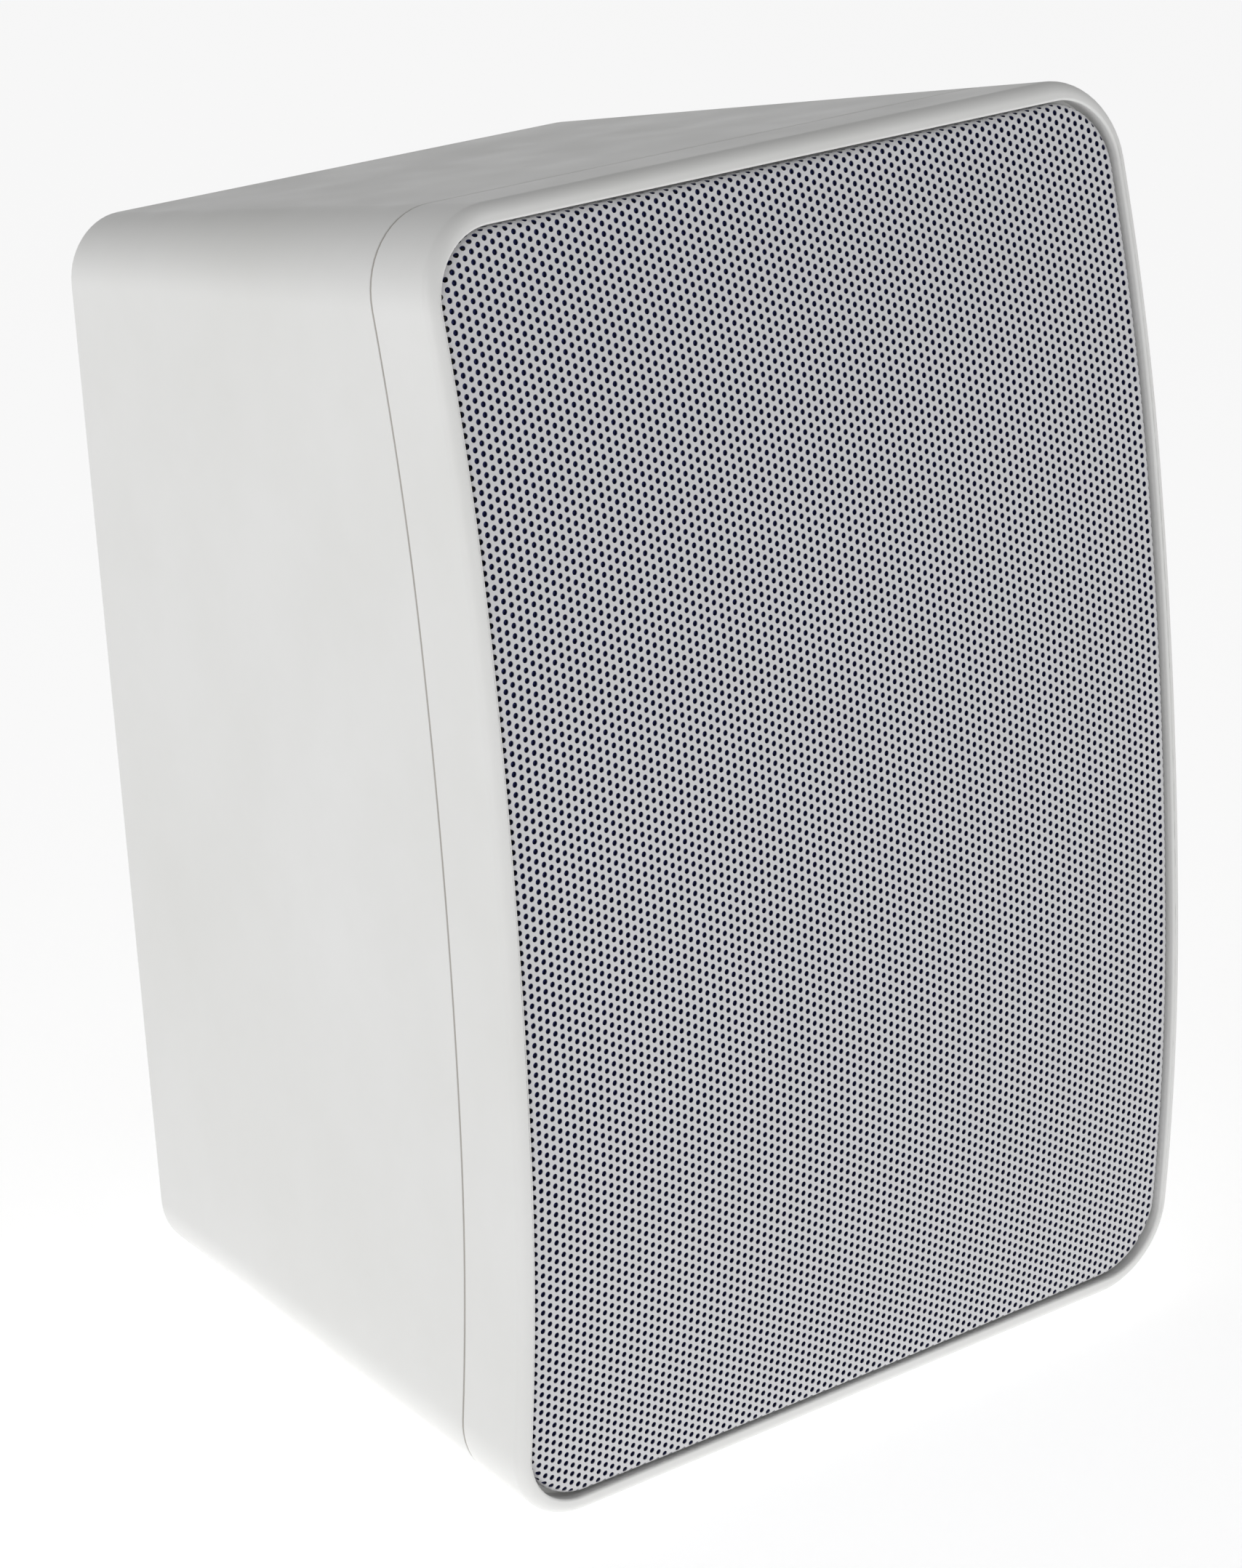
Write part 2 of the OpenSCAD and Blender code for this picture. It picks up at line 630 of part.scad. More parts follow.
module lever_pin() color("#B8B8BC") stand()
    translate([-lever_x - lever_w / 2 - 4, pin_y, pin_z]) rotate([0, 90, 0])
        cylinder(r = pin_r, h = 2 * lever_x + lever_w + 8);

// Press lever, hanging from its pin; side is -1 or 1
module lever(side) stand() translate([side * lever_x, pin_y, pin_z]) difference() {
    union() {
        translate([-lever_w / 2, 0, 0]) rotate([0, 90, 0]) cylinder(r = 2.6, h = lever_w);
        span([-lever_w / 2, -1.2, -lever_len], [lever_w / 2, 2.2, 0]);
        translate([-lever_w / 2, 2.2, 2 - lever_len]) rotate([0, 90, 0]) cylinder(r = 2, h = lever_w);
    }
    translate([-lever_w, 0, 0]) rotate([0, 90, 0]) cylinder(r = pin_r + fit_gap, h = 2 * lever_w);
}

module lever_red() color("#C0202A") lever(-1);
module lever_black() color("#26262A") lever(1);

// Torsion springs on the pin, one beside each lever
module lever_springs() color("#C8C8CC") stand() for (sx = [-1, 1])
    translate([sx * (lever_x + lever_w / 2 + 1) - 0.75, pin_y, pin_z]) rotate([0, 90, 0])
        disc(1.9, 1.5, pin_r + fit_gap);

module terminal_screws() color("#9A9AA0") stand()
    for (p = cup_screw_xz) translate([p[0], cab_d, p[1]]) rotate([90, 0, 0]) 
        pan_screw(cup_screw_r, 8, 2.4, 1.5);

// ---------- internal leads, as [x, y, z] along their routes ----------

lead_r = 0.9;

module input_leads() color("#B02A2A") stand() for (sx = [-1, 1])
    wire([[sx * 11, 127, cup_z + 4], [sx * 11, 124, cup_z + 4], [sx * 11, 121, cup_z + 10],
          [sx * 9, 121, -26], [sx * 8, 134, -16], [sx * 8, board_y, -16]], lead_r);

module woofer_leads() color("#3A5FB0") stand() for (dz = [0, 4])
    wire([[-43, board_y, 2 + dz], [-43, 134, 2 + dz], [-46, 130, 2 + dz], [-62, 122, 2 + dz],
          [-64, 80, 2 + dz], [-54, 60, -16 + dz], [-44, 52, -26 + dz]], lead_r);

module tweeter_leads() color("#D8B13A") stand() for (dz = [0, 4])
    wire([[43, board_y, 10 + dz], [43, 134, 10 + dz], [46, 130, 10 + dz], [62, 122, 14 + dz],
          [64, 80, 30 + dz], [44, 46, 66 + dz], [28.5, 41, 76 + dz], [24, 40, 78 + dz],
          [24, 36, 78 + dz]], lead_r);

// ---------- what is drawn ----------

front_baffle();
rear_shell();
cabinet_gasket();
cabinet_screws();
grille_panel();
grille_cloth();
woofer_basket();
woofer_gasket();
woofer_surround();
woofer_cone();
dust_cap();
voice_coil_former();
voice_coil();
spider();
woofer_top_plate();
woofer_magnet();
woofer_yoke();
woofer_screws();
tweeter_faceplate();
tweeter_gasket();
tweeter_dome();
tweeter_surround();
tweeter_coil();
tweeter_top_plate();
tweeter_magnet();
tweeter_yoke();
tweeter_screws();
bass_port();
damping_foam();
bracket_inserts();
crossover_board();
woofer_inductor();
tweeter_inductor();
capacitors();
resistor();
board_screws();
terminal_cup();
terminal_block();
terminal_contacts();
lever_pin();
lever_red();
lever_black();
lever_springs();
terminal_screws();
input_leads();
woofer_leads();
tweeter_leads();
rubber_feet();
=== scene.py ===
"""Two-way bookshelf speaker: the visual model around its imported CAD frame.

Shapes are worked out in the cabinet's own coordinates, in millimetres: x to the right seen
from the front, y back from the crown of the front, z up from the middle of the cabinet.
place() leans them back and lifts them onto their feet, as the CAD does.
"""
import json
import math

import bmesh
import bpy
import numpy as np
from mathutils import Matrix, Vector
from mathutils.geometry import delaunay_2d_cdt, tessellate_polygon


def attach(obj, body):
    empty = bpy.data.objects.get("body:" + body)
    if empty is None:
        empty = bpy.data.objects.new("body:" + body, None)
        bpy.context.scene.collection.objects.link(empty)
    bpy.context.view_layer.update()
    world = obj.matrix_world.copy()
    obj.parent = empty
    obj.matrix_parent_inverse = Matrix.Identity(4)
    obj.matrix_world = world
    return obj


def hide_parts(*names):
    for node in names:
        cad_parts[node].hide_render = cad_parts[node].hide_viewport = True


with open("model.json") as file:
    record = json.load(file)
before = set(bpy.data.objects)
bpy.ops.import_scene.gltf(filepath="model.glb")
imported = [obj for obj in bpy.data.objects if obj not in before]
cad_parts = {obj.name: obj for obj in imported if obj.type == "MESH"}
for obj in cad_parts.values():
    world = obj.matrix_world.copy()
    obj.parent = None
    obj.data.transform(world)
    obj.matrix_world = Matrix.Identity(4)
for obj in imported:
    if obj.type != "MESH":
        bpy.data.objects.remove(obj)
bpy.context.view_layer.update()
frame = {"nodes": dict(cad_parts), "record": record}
nodes = frame["nodes"]

# ---------- the cabinet's form, as in the CAD ----------

CAB_D = 154.0
HALF_W, HALF_H, CORNER_R, REAR_CORNER_R = 91.5, 132.0, 18.0, 13.0
TAPER = math.radians(7.1)
SLOPE, SIN_T, COS_T = math.tan(TAPER), math.sin(TAPER), math.cos(TAPER)
CROWN_Z, CROWN_R, END_R = 50.0, 1000.0, 518.0
HULL_SLICE = 0.4
FOOT_H = 3.0
FEET = ((-62, -72), (62, -72), (-48, 38), (48, 38))  # in the frame's own axes
WALL = 3.2
SEAM_D, SEAM_GAP = 21.5, 0.5
OPEN_W, OPEN_H, OPEN_R = 88.4, 127.9, 14.0
LEDGE_W, LEDGE_D = 4.0, 5.0
BAFFLE_Y, BAFFLE_T = 17.0, 4.5
BACK_IN = 150.5
FLANGE_DEPTH = 2.0  # recess in the back for the port's and the cup's flanges


def bow(z):
    """Depth of the bowed front at height z."""
    a = np.abs(z)
    b = a - CROWN_Z
    past = CROWN_Z**2 / (2 * CROWN_R) + b * CROWN_Z / CROWN_R + b * b / (2 * END_R)
    return np.where(a <= CROWN_Z, a * a / (2 * CROWN_R), past)


def bow_slope(z):
    a = np.abs(z)
    past = CROWN_Z / CROWN_R + (a - CROWN_Z) / END_R
    return np.sign(z) * np.where(a <= CROWN_Z, a / CROWN_R, past)


REAR_HALF_W = HALF_W - CAB_D * SLOPE
REAR_HALF_H = HALF_H - (CAB_D - float(bow(HALF_H))) * SLOPE
LIFT = (HALF_H + (float(bow(HALF_H)) + HULL_SLICE) * SLOPE) * COS_T + FOOT_H
heights = np.arange(-HALF_H, 1.0)
FRONT_Y = float(np.min(bow(heights) * COS_T + heights * SIN_T))
CENTRE_Y = (FRONT_Y + CAB_D * COS_T + REAR_HALF_H * SIN_T) / 2


def place(points):
    """Cabinet millimetres to the frame's metres."""
    x, y, z = np.asarray(points, float).reshape(-1, 3).T
    return np.stack([x, y * COS_T + z * SIN_T - CENTRE_Y, z * COS_T - y * SIN_T + LIFT], 1) / 1000


# ---------- materials ----------


def linear(hex_colour):
    """sRGB hex colour to linear RGB."""
    channels = [int(hex_colour[i : i + 2], 16) / 255 for i in (1, 3, 5)]
    return [c / 12.92 if c <= 0.04045 else ((c + 0.055) / 1.055) ** 2.4 for c in channels]


class Finish:
    """A procedural material, built up node by node in object coordinates."""

    def __init__(self, name, rough, metallic=0.0, **constants):
        self.material = bpy.data.materials.new(name)
        self.material.use_nodes = True
        self.tree = self.material.node_tree
        self.shader = self.tree.nodes["Principled BSDF"]
        self.coords = self.tree.nodes.new("ShaderNodeTexCoord").outputs["Object"]
        self.shader.inputs["Roughness"].default_value = rough
        self.shader.inputs["Metallic"].default_value = metallic
        for socket, value in constants.items():
            self.shader.inputs[socket.replace("_", " ")].default_value = value
        self.height = None

    def node(self, kind, inputs=None, **settings):
        made = self.tree.nodes.new(kind)
        for key, value in settings.items():
            setattr(made, key, value)
        for key, value in (inputs or {}).items():
            if isinstance(value, bpy.types.NodeSocket):
                self.tree.links.new(value, made.inputs[key])
            else:
                made.inputs[key].default_value = value
        return made

    def leaned(self):
        """Object coordinates turned back, so that Z runs up the cabinet and Y into it."""
        turn = self.node("ShaderNodeMapping", {"Vector": self.coords, "Rotation": (TAPER, 0, 0)})
        return turn.outputs["Vector"]

    def noise(self, size, detail=3.0, rough=0.55, vector=None, stretch=None):
        """Noise from 0 to 1 with features of about size millimetres."""
        vector = vector or self.coords
        if stretch:
            vector = self.node(
                "ShaderNodeMapping", {"Vector": vector, "Scale": stretch}
            ).outputs["Vector"]
        made = self.node(
            "ShaderNodeTexNoise",
            {"Vector": vector, "Scale": 1000 / size, "Detail": detail, "Roughness": rough},
        )
        return made.outputs["Fac"]

    def wave(self, size, direction, vector=None, kind="BANDS", distortion=0.0):
        """Sine wave from 0 to 1 with a wavelength of size millimetres."""
        settings = {"wave_type": kind, "wave_profile": "SIN"}
        settings["bands_direction" if kind == "BANDS" else "rings_direction"] = direction
        made = self.node(
            "ShaderNodeTexWave",
            {
                "Vector": vector or self.coords,
                "Scale": math.pi * 100 / size,
                "Distortion": distortion,
                "Detail": 1.0,
            },
            **settings,
        )
        return made.outputs["Fac"]

    def maths(self, operation, a, b=0.0):
        made = self.node("ShaderNodeMath", operation=operation)
        for socket, value in zip(made.inputs, (a, b)):
            if isinstance(value, bpy.types.NodeSocket):
                self.tree.links.new(value, socket)
            else:
                socket.default_value = value
        return made.outputs[0]

    def ramp(self, value, low, high, to_low=0.0, to_high=1.0):
        made = self.node(
            "ShaderNodeMapRange",
            {
                "Value": value,
                "From Min": low,
                "From Max": high,
                "To Min": to_low,
                "To Max": to_high,
            },
        )
        return made.outputs["Result"]

    def mix(self, factor, a, b):
        made = self.node("ShaderNodeMix", data_type="RGBA")
        sockets = {s.identifier: s for s in made.inputs}
        for key, value in (("Factor_Float", factor), ("A_Color", a), ("B_Color", b)):
            if isinstance(value, bpy.types.NodeSocket):
                self.tree.links.new(value, sockets[key])
            elif key == "Factor_Float":
                sockets[key].default_value = value
            else:
                sockets[key].default_value = (*value, 1.0)
        return {s.identifier: s for s in made.outputs}["Result_Color"]

    def colour(self, value):
        if isinstance(value, bpy.types.NodeSocket):
            self.tree.links.new(value, self.shader.inputs["Base Color"])
        else:
            self.shader.inputs["Base Color"].default_value = (*value, 1.0)

    def mottle(self, hex_colour, spread=0.05, size=30.0, base=None):
        """Base colour that varies by spread over size millimetres."""
        rgb = linear(hex_colour)
        dark = [c * (1 - spread) for c in rgb]
        light = [min(c * (1 + spread), 1.0) for c in rgb]
        mixed = self.mix(self.noise(size) if base is None else base, dark, light)
        self.colour(mixed)
        return mixed

    def vary_roughness(self, amount, size):
        middle = self.shader.inputs["Roughness"].default_value
        value = self.ramp(self.noise(size), 0.3, 0.7, middle - amount, middle + amount)
        self.tree.links.new(value, self.shader.inputs["Roughness"])

    def bump(self, height, depth):
        """Adds height, from 0 to 1, as depth millimetres of relief."""
        made = self.node(
            "ShaderNodeBump", {"Height": height, "Distance": depth / 1000, "Strength": 1.0}
        )
        if self.height is not None:
            self.tree.links.new(self.height, made.inputs["Normal"])
        self.height = made.outputs["Normal"]
        self.tree.links.new(self.height, self.shader.inputs["Normal"])


def plastic(name, colour, rough=0.42, spread=0.03, grain=0.5, depth=0.006, smudge=0.05, **more):
    """Moulded plastic: fine texture, faint smudges in the gloss and the colour."""
    f = Finish(name, rough, **more)
    f.mottle(colour, spread, 45.0)
    f.vary_roughness(smudge, 22.0)
    f.bump(f.noise(grain, 2.0), depth)
    return f.material


def metal(name, colour, rough=0.35, spread=0.08, size=6.0, depth=0.004, stretch=None, **more):
    """Bare or plated metal with fine tool marks."""
    f = Finish(name, rough, 1.0, **more)
    f.mottle(colour, spread, size)
    f.vary_roughness(0.1, size)
    f.bump(f.noise(0.6, 3.0, stretch=stretch), depth)
    return f.material


def fibre(name, colour, rough=0.9, spread=0.2, size=1.2, depth=0.05, **more):
    """Pressed pulp or felted fibre."""
    f = Finish(name, rough, **more)
    f.mottle(colour, spread, size)
    f.vary_roughness(0.05, 3.0)
    f.bump(f.noise(size, 5.0, 0.7), depth)
    return f.material


def woven(name, dark, light, pitch=0.42, rough=0.85, depth=0.08, **more):
    """Plain weave whose threads run up and across the cabinet."""
    f = Finish(name, rough, **more)
    turned = f.leaned()
    across, up = f.wave(pitch * 2, "X", turned), f.wave(pitch * 2, "Z", turned)
    over = f.maths("ABSOLUTE", f.maths("SUBTRACT", across, up))
    thread = f.maths("MULTIPLY", over, f.ramp(f.noise(1.4), 0.25, 0.75, 0.7, 1.0))
    f.colour(f.mix(thread, linear(dark), linear(light)))
    f.vary_roughness(0.05, 4.0)
    f.bump(over, depth)
    return f.material


def wound(name, colour, gap_colour, pitch=0.5, rough=0.35, metallic=0.9, direction="Y", **more):
    """Turns of wire lying side by side."""
    f = Finish(name, rough, metallic, **more)
    turns = f.wave(pitch, direction, f.leaned())
    shade = f.maths("MULTIPLY", turns, f.ramp(f.noise(2.0), 0.2, 0.8, 0.8, 1.0))
    f.colour(f.mix(shade, linear(gap_colour), linear(colour)))
    f.vary_roughness(0.08, 3.0)
    f.bump(turns, 0.12)
    return f.material


def rubber(name, colour, rough=0.6, spread=0.12, grain=0.8, depth=0.02, **more):
    f = Finish(name, rough, **more)
    f.mottle(colour, spread, 9.0)
    f.vary_roughness(0.08, 5.0)
    f.bump(f.noise(grain, 4.0, 0.6), depth)
    return f.material


def open_foam(name, dark, light):
    f = Finish(name, 0.95)
    cells = f.node(
        "ShaderNodeTexVoronoi", {"Vector": f.coords, "Scale": 1000 / 1.6}
    ).outputs["Distance"]
    f.colour(f.mix(f.ramp(cells, 0.0, 0.6), linear(dark), linear(light)))
    f.vary_roughness(0.03, 4.0)
    f.bump(cells, 0.6)
    return f.material


def cabinet_plastic():
    """White moulded cabinet: satin, finely textured, with very faint handling marks."""
    f = Finish("cabinet_white", 0.38, Specular_IOR_Level=0.42)
    marks = f.ramp(f.noise(28.0, 4.0, 0.62), 0.35, 0.75)
    cloud = f.ramp(f.noise(90.0, 2.0), 0.3, 0.7)
    base = f.mix(cloud, linear("#EDEDEB"), linear("#F1F1F0"))
    f.colour(f.mix(f.maths("MULTIPLY", marks, 0.35), base, linear("#E6E6E3")))
    f.vary_roughness(0.05, 18.0)
    f.bump(f.noise(0.45, 2.0), 0.004)
    return f.material


def grille_paint():
    """Satin paint on the perforated steel. The walls of its holes turn to painted shade just below
    the face: the cloth's dark blue, painted on the walls in place of the shadow inside the holes."""
    f = Finish("grille_white", 0.42, Specular_IOR_Level=0.4)
    rim = f.node("ShaderNodeAttribute", attribute_name="rim").outputs["Fac"]
    painted = f.mix(f.noise(40.0), linear("#DADADC"), linear("#E0E0E2"))
    # painted shade: by the rim value the hole walls go from the paint to dark blue towards their
    # back edge
    f.colour(f.mix(f.ramp(rim, 0.72, 0.98), linear("#20264F"), painted))
    f.vary_roughness(0.05, 12.0)
    f.bump(f.noise(0.8, 2.0), 0.004)
    return f.material


def board_finish():
    """Solder mask over faint copper tracks."""
    f = Finish("board_green", 0.35, Coat_Weight=0.3, Coat_Roughness=0.2)
    tracks = f.ramp(f.wave(6.0, "X", f.leaned(), distortion=3.0), 0.62, 0.7)
    f.colour(f.mix(tracks, linear("#1F5A31"), linear("#2F7A45")))
    f.vary_roughness(0.06, 8.0)
    f.bump(tracks, 0.03)
    return f.material


FINISHES = {
    "cabinet_white": cabinet_plastic(),
    "gasket_foam": rubber("gasket_foam", "#B4B0AA", 0.85, grain=0.7, depth=0.05),
    "black_screw": metal("black_screw", "#2B2B2D", 0.42, depth=0.006),
    "grille_white": grille_paint(),
    "acoustic_cloth": woven("acoustic_cloth", "#20265E", "#454E9C", 0.36, Sheen_Weight=0.15),
    "basket_black": metal("basket_black", "#232325", 0.55, 0.1, 12.0, 0.012),
    "driver_gasket": rubber("driver_gasket", "#262626", 0.9, depth=0.06),
    "surround_rubber": rubber("surround_rubber", "#161617", 0.48, depth=0.01),
    "cone_paper": fibre("cone_paper", "#232326"),
    "cap_paper": fibre("cap_paper", "#1B1B1E", 0.8, size=0.9),
    "former_kapton": plastic("former_kapton", "#B98A3E", 0.3, 0.08, Coat_Weight=0.3),
    "coil_copper": wound("coil_copper", "#C0703A", "#5A2E14", 0.45),
    "spider_cloth": woven("spider_cloth", "#8E6326", "#CFA052", 0.7),
    "plated_steel": metal("plated_steel", "#B4B4B8", 0.32),
    "ferrite": fibre("ferrite", "#2E2E31", 0.62, 0.15, 0.8, 0.03),
    "faceplate_black": plastic("faceplate_black", "#1E1E20", 0.5, 0.1, depth=0.012),
    "silk_dome": woven("silk_dome", "#101011", "#26262A", 0.25, 0.7, 0.03),
    "port_black": plastic("port_black", "#1B1B1D", 0.46, 0.08, grain=0.6, depth=0.014),
    "foam_grey": open_foam("foam_grey", "#2C2C30", "#6A6A70"),
    "insert_brass": metal("insert_brass", "#C9A85A", 0.28, 0.1, 5.0),
    "board_green": board_finish(),
    "capacitor_blue": plastic("capacitor_blue", "#2F58A5", 0.28, 0.06, Coat_Weight=0.4),
    "resistor_ceramic": fibre("resistor_ceramic", "#DDD7C8", 0.75, 0.06, 0.8, 0.03),
    "zinc_screw": metal("zinc_screw", "#A9ABAF", 0.3),
    "contact_brass": metal("contact_brass", "#C6A452", 0.3),
    "lever_red": plastic("lever_red", "#B3202A", 0.36, 0.05, grain=0.5, depth=0.008),
    "lever_black": plastic("lever_black", "#1F1F22", 0.38, 0.08, grain=0.5, depth=0.008),
    "lead_red": plastic("lead_red", "#A8262A", 0.4, 0.06),
    "lead_blue": plastic("lead_blue", "#2D55A0", 0.4, 0.06),
    "lead_yellow": plastic("lead_yellow", "#D2AE36", 0.4, 0.06),
    "foot_rubber": rubber("foot_rubber", "#C4C4C1", 0.62, 0.05, depth=0.02),
}

SLOT_OF = {part["node"]: part["material_slot"] for part in frame["record"]["subparts"]}

# ---------- mesh helpers ----------


class Solid:
    """Points in cabinet millimetres and the faces between them."""

    def __init__(self):
        self.points = []
        self.faces = []

    def loop(self, points):
        start = len(self.points)
        self.points.extend(tuple(map(float, p)) for p in points)
        return list(range(start, len(self.points)))

    def bridge(self, a, b, closed=True):
        n = len(a)
        for i in range(n if closed else n - 1):
            j = (i + 1) % n
            self.faces.append((a[i], a[j], b[j], b[i]))

    def loft(self, loops, closed=True):
        """Rings of points joined one after another; returns the first and the last."""
        rings = [self.loop(p) for p in loops]
        for a, b in zip(rings, rings[1:]):
            self.bridge(a, b)
        if closed is None:
            self.bridge(rings[-1], rings[0])
        return rings[0], rings[-1]

    def fill(self, outer, holes=()):
        """Flat face inside outer, with holes in it."""
        rings = [outer, *holes]
        order = [i for ring in rings for i in ring]
        flat = [[Vector(self.points[i]) for i in ring] for ring in rings]
        self.faces.extend(tuple(order[k] for k in t) for t in tessellate_polygon(flat))

    def post(self, x, z, r, y0, y1, sides=32):
        """Closed round post from depth y0 to y1."""
        a, b = self.loft([circle(x, z, r, y, sides) for y in (y0, y1)])
        self.faces.append(tuple(a))
        self.faces.append(tuple(b))


def circle(x, z, r, y, sides=64):
    turn = [2 * math.pi * k / sides for k in range(sides)]
    return [(x + r * math.cos(a), y, z + r * math.sin(a)) for a in turn]


def shade(mesh, angle):
    for polygon in mesh.polygons:
        polygon.use_smooth = True
    mesh.set_sharp_from_angle(angle=math.radians(angle))


def weigh_normals(obj):
    """Keeps broad flat faces flat next to their small rounded edges."""
    modifier = obj.modifiers.new("weighted", "WEIGHTED_NORMAL")
    modifier.keep_sharp = True
    modifier.weight = 50


def finish_piece(obj, body, slot_name, replaced=()):
    bpy.context.scene.collection.objects.link(obj)
    obj.data.materials.clear()
    obj.data.materials.append(FINISHES[slot_name])
    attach(obj, body)
    if replaced:
        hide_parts(*replaced)
    return obj


def build(name, solid, body, slot_name, replaced=(), angle=38, weighted=True):
    """A piece from a Solid."""
    mesh = bpy.data.meshes.new(name)
    mesh.from_pydata(place(solid.points).tolist(), [], solid.faces)
    made = bmesh.new()
    made.from_mesh(mesh)
    bmesh.ops.remove_doubles(made, verts=made.verts, dist=1e-6)
    bmesh.ops.recalc_face_normals(made, faces=made.faces)
    made.to_mesh(mesh)
    made.free()
    shade(mesh, angle)
    obj = bpy.data.objects.new(name, mesh)
    finish_piece(obj, body, slot_name, replaced)
    if weighted:
        weigh_normals(obj)
    return obj


def bevelled(name, node, body, width, segments=2, angle=32):
    """A copy of a CAD node's mesh with its edges rounded by width millimetres."""
    mesh = nodes[node].data.copy()
    mesh.name = name
    made = bmesh.new()
    made.from_mesh(mesh)
    bmesh.ops.remove_doubles(made, verts=made.verts, dist=2e-6)
    bmesh.ops.dissolve_limit(
        made, angle_limit=math.radians(1.5), verts=made.verts, edges=made.edges
    )
    made.to_mesh(mesh)
    made.free()
    obj = bpy.data.objects.new(name, mesh)
    finish_piece(obj, body, SLOT_OF[node], [node])
    shade(mesh, angle)
    edge = obj.modifiers.new("edge", "BEVEL")
    edge.width = width / 1000
    edge.segments = segments
    edge.limit_method = "ANGLE"
    edge.angle_limit = math.radians(angle)
    edge.use_clamp_overlap = True
    edge.harden_normals = False
    weigh_normals(obj)
    return obj


def lathe(name, profile, x, z, body, slot_name, replaced=(), sides=96, angle=38):
    """A closed profile of (radius, depth) points turned about a line that runs back."""
    solid = Solid()
    solid.loft([circle(x, z, r, y, sides) for r, y in profile], closed=None)
    return build(name, solid, body, slot_name, replaced, angle)


def arc(cx, cy, r, start, end, steps):
    """Points of an arc in a profile, in degrees."""
    turn = np.radians(np.linspace(start, end, steps + 1))
    return [(cx + r * math.cos(a), cy + r * math.sin(a)) for a in turn]


# ---------- outlines of the cabinet ----------

ARC_STEPS, W_STEPS, H_STEPS = 14, 8, 36


def outline(w, h, r):
    """Rounded rectangle as (x, z) points and outward normals, always with as many points."""
    points, normals = [], []
    corners = [(1, 1, 0), (-1, 1, 90), (-1, -1, 180), (1, -1, 270)]
    for k, (sx, sz, start) in enumerate(corners):
        cx, cz = sx * (w - r), sz * (h - r)
        for i in range(ARC_STEPS + 1):
            a = math.radians(start + 90 * i / ARC_STEPS)
            points.append((cx + r * math.cos(a), cz + r * math.sin(a)))
            normals.append((math.cos(a), math.sin(a)))
        nx, nz, _ = corners[(k + 1) % 4]
        a = math.radians(start + 90)
        ex, ez = nx * (w - r) + r * math.cos(a), nz * (h - r) + r * math.sin(a)
        px, pz = points[-1]
        steps = W_STEPS if k % 2 == 0 else H_STEPS
        for i in range(1, steps):
            t = i / steps
            points.append((px + (ex - px) * t, pz + (ez - pz) * t))
            normals.append((math.cos(a), math.sin(a)))
    return np.array(points), np.array(normals)


FRONT, NORMALS = outline(HALF_W, HALF_H, CORNER_R)
REAR, _ = outline(REAR_HALF_W, REAR_HALF_H, REAR_CORNER_R)
FRONT_DEPTH = bow(FRONT[:, 1])


def skin_at(y, inset=0.0):
    """Ring on the outer walls at depth y, moved inwards by inset."""
    y = np.broadcast_to(np.asarray(y, float), FRONT_DEPTH.shape)
    t = ((y - FRONT_DEPTH) / (CAB_D - FRONT_DEPTH))[:, None]
    xz = FRONT + (REAR - FRONT) * t - NORMALS * inset
    return np.stack([xz[:, 0], y, xz[:, 1]], 1)


def skin(behind, inset=0.0):
    """Ring on the outer walls a given depth behind the bowed front."""
    y = FRONT_DEPTH + behind
    for _ in range(4):
        y = bow(skin_at(y, inset)[:, 2]) + behind
    return skin_at(y, inset)


def bowed(w, h, r, behind):
    """Straight-sided outline at a given depth behind the bowed front."""
    xz, _ = outline(w, h, r)
    return np.stack([xz[:, 0], bow(xz[:, 1]) + behind, xz[:, 1]], 1)


def flat(w, h, r, y, z=0.0):
    xz, _ = outline(w, h, r)
    return np.stack([xz[:, 0], np.full(len(xz), y), xz[:, 1] + z], 1)


# ---------- front frame ----------

WOOFER_Z, TWEETER_Z = -38.0, 80.0
EDGE_R = 2.4  # outside edge of the frame
LIP_R = 0.5  # edge beside the grille
SEAM_R = 0.25  # edges of the seam
FRAME_SCREWS = [(s * x, z) for s in (-1, 1) for x, z in ((78.5, 110), (79, 10), (78.5, -110))]


def driver_posts(z, pitch_r):
    spots = [math.radians(45 + 90 * k) for k in range(4)]
    return [(pitch_r * math.cos(a), z - pitch_r * math.sin(a)) for a in spots]


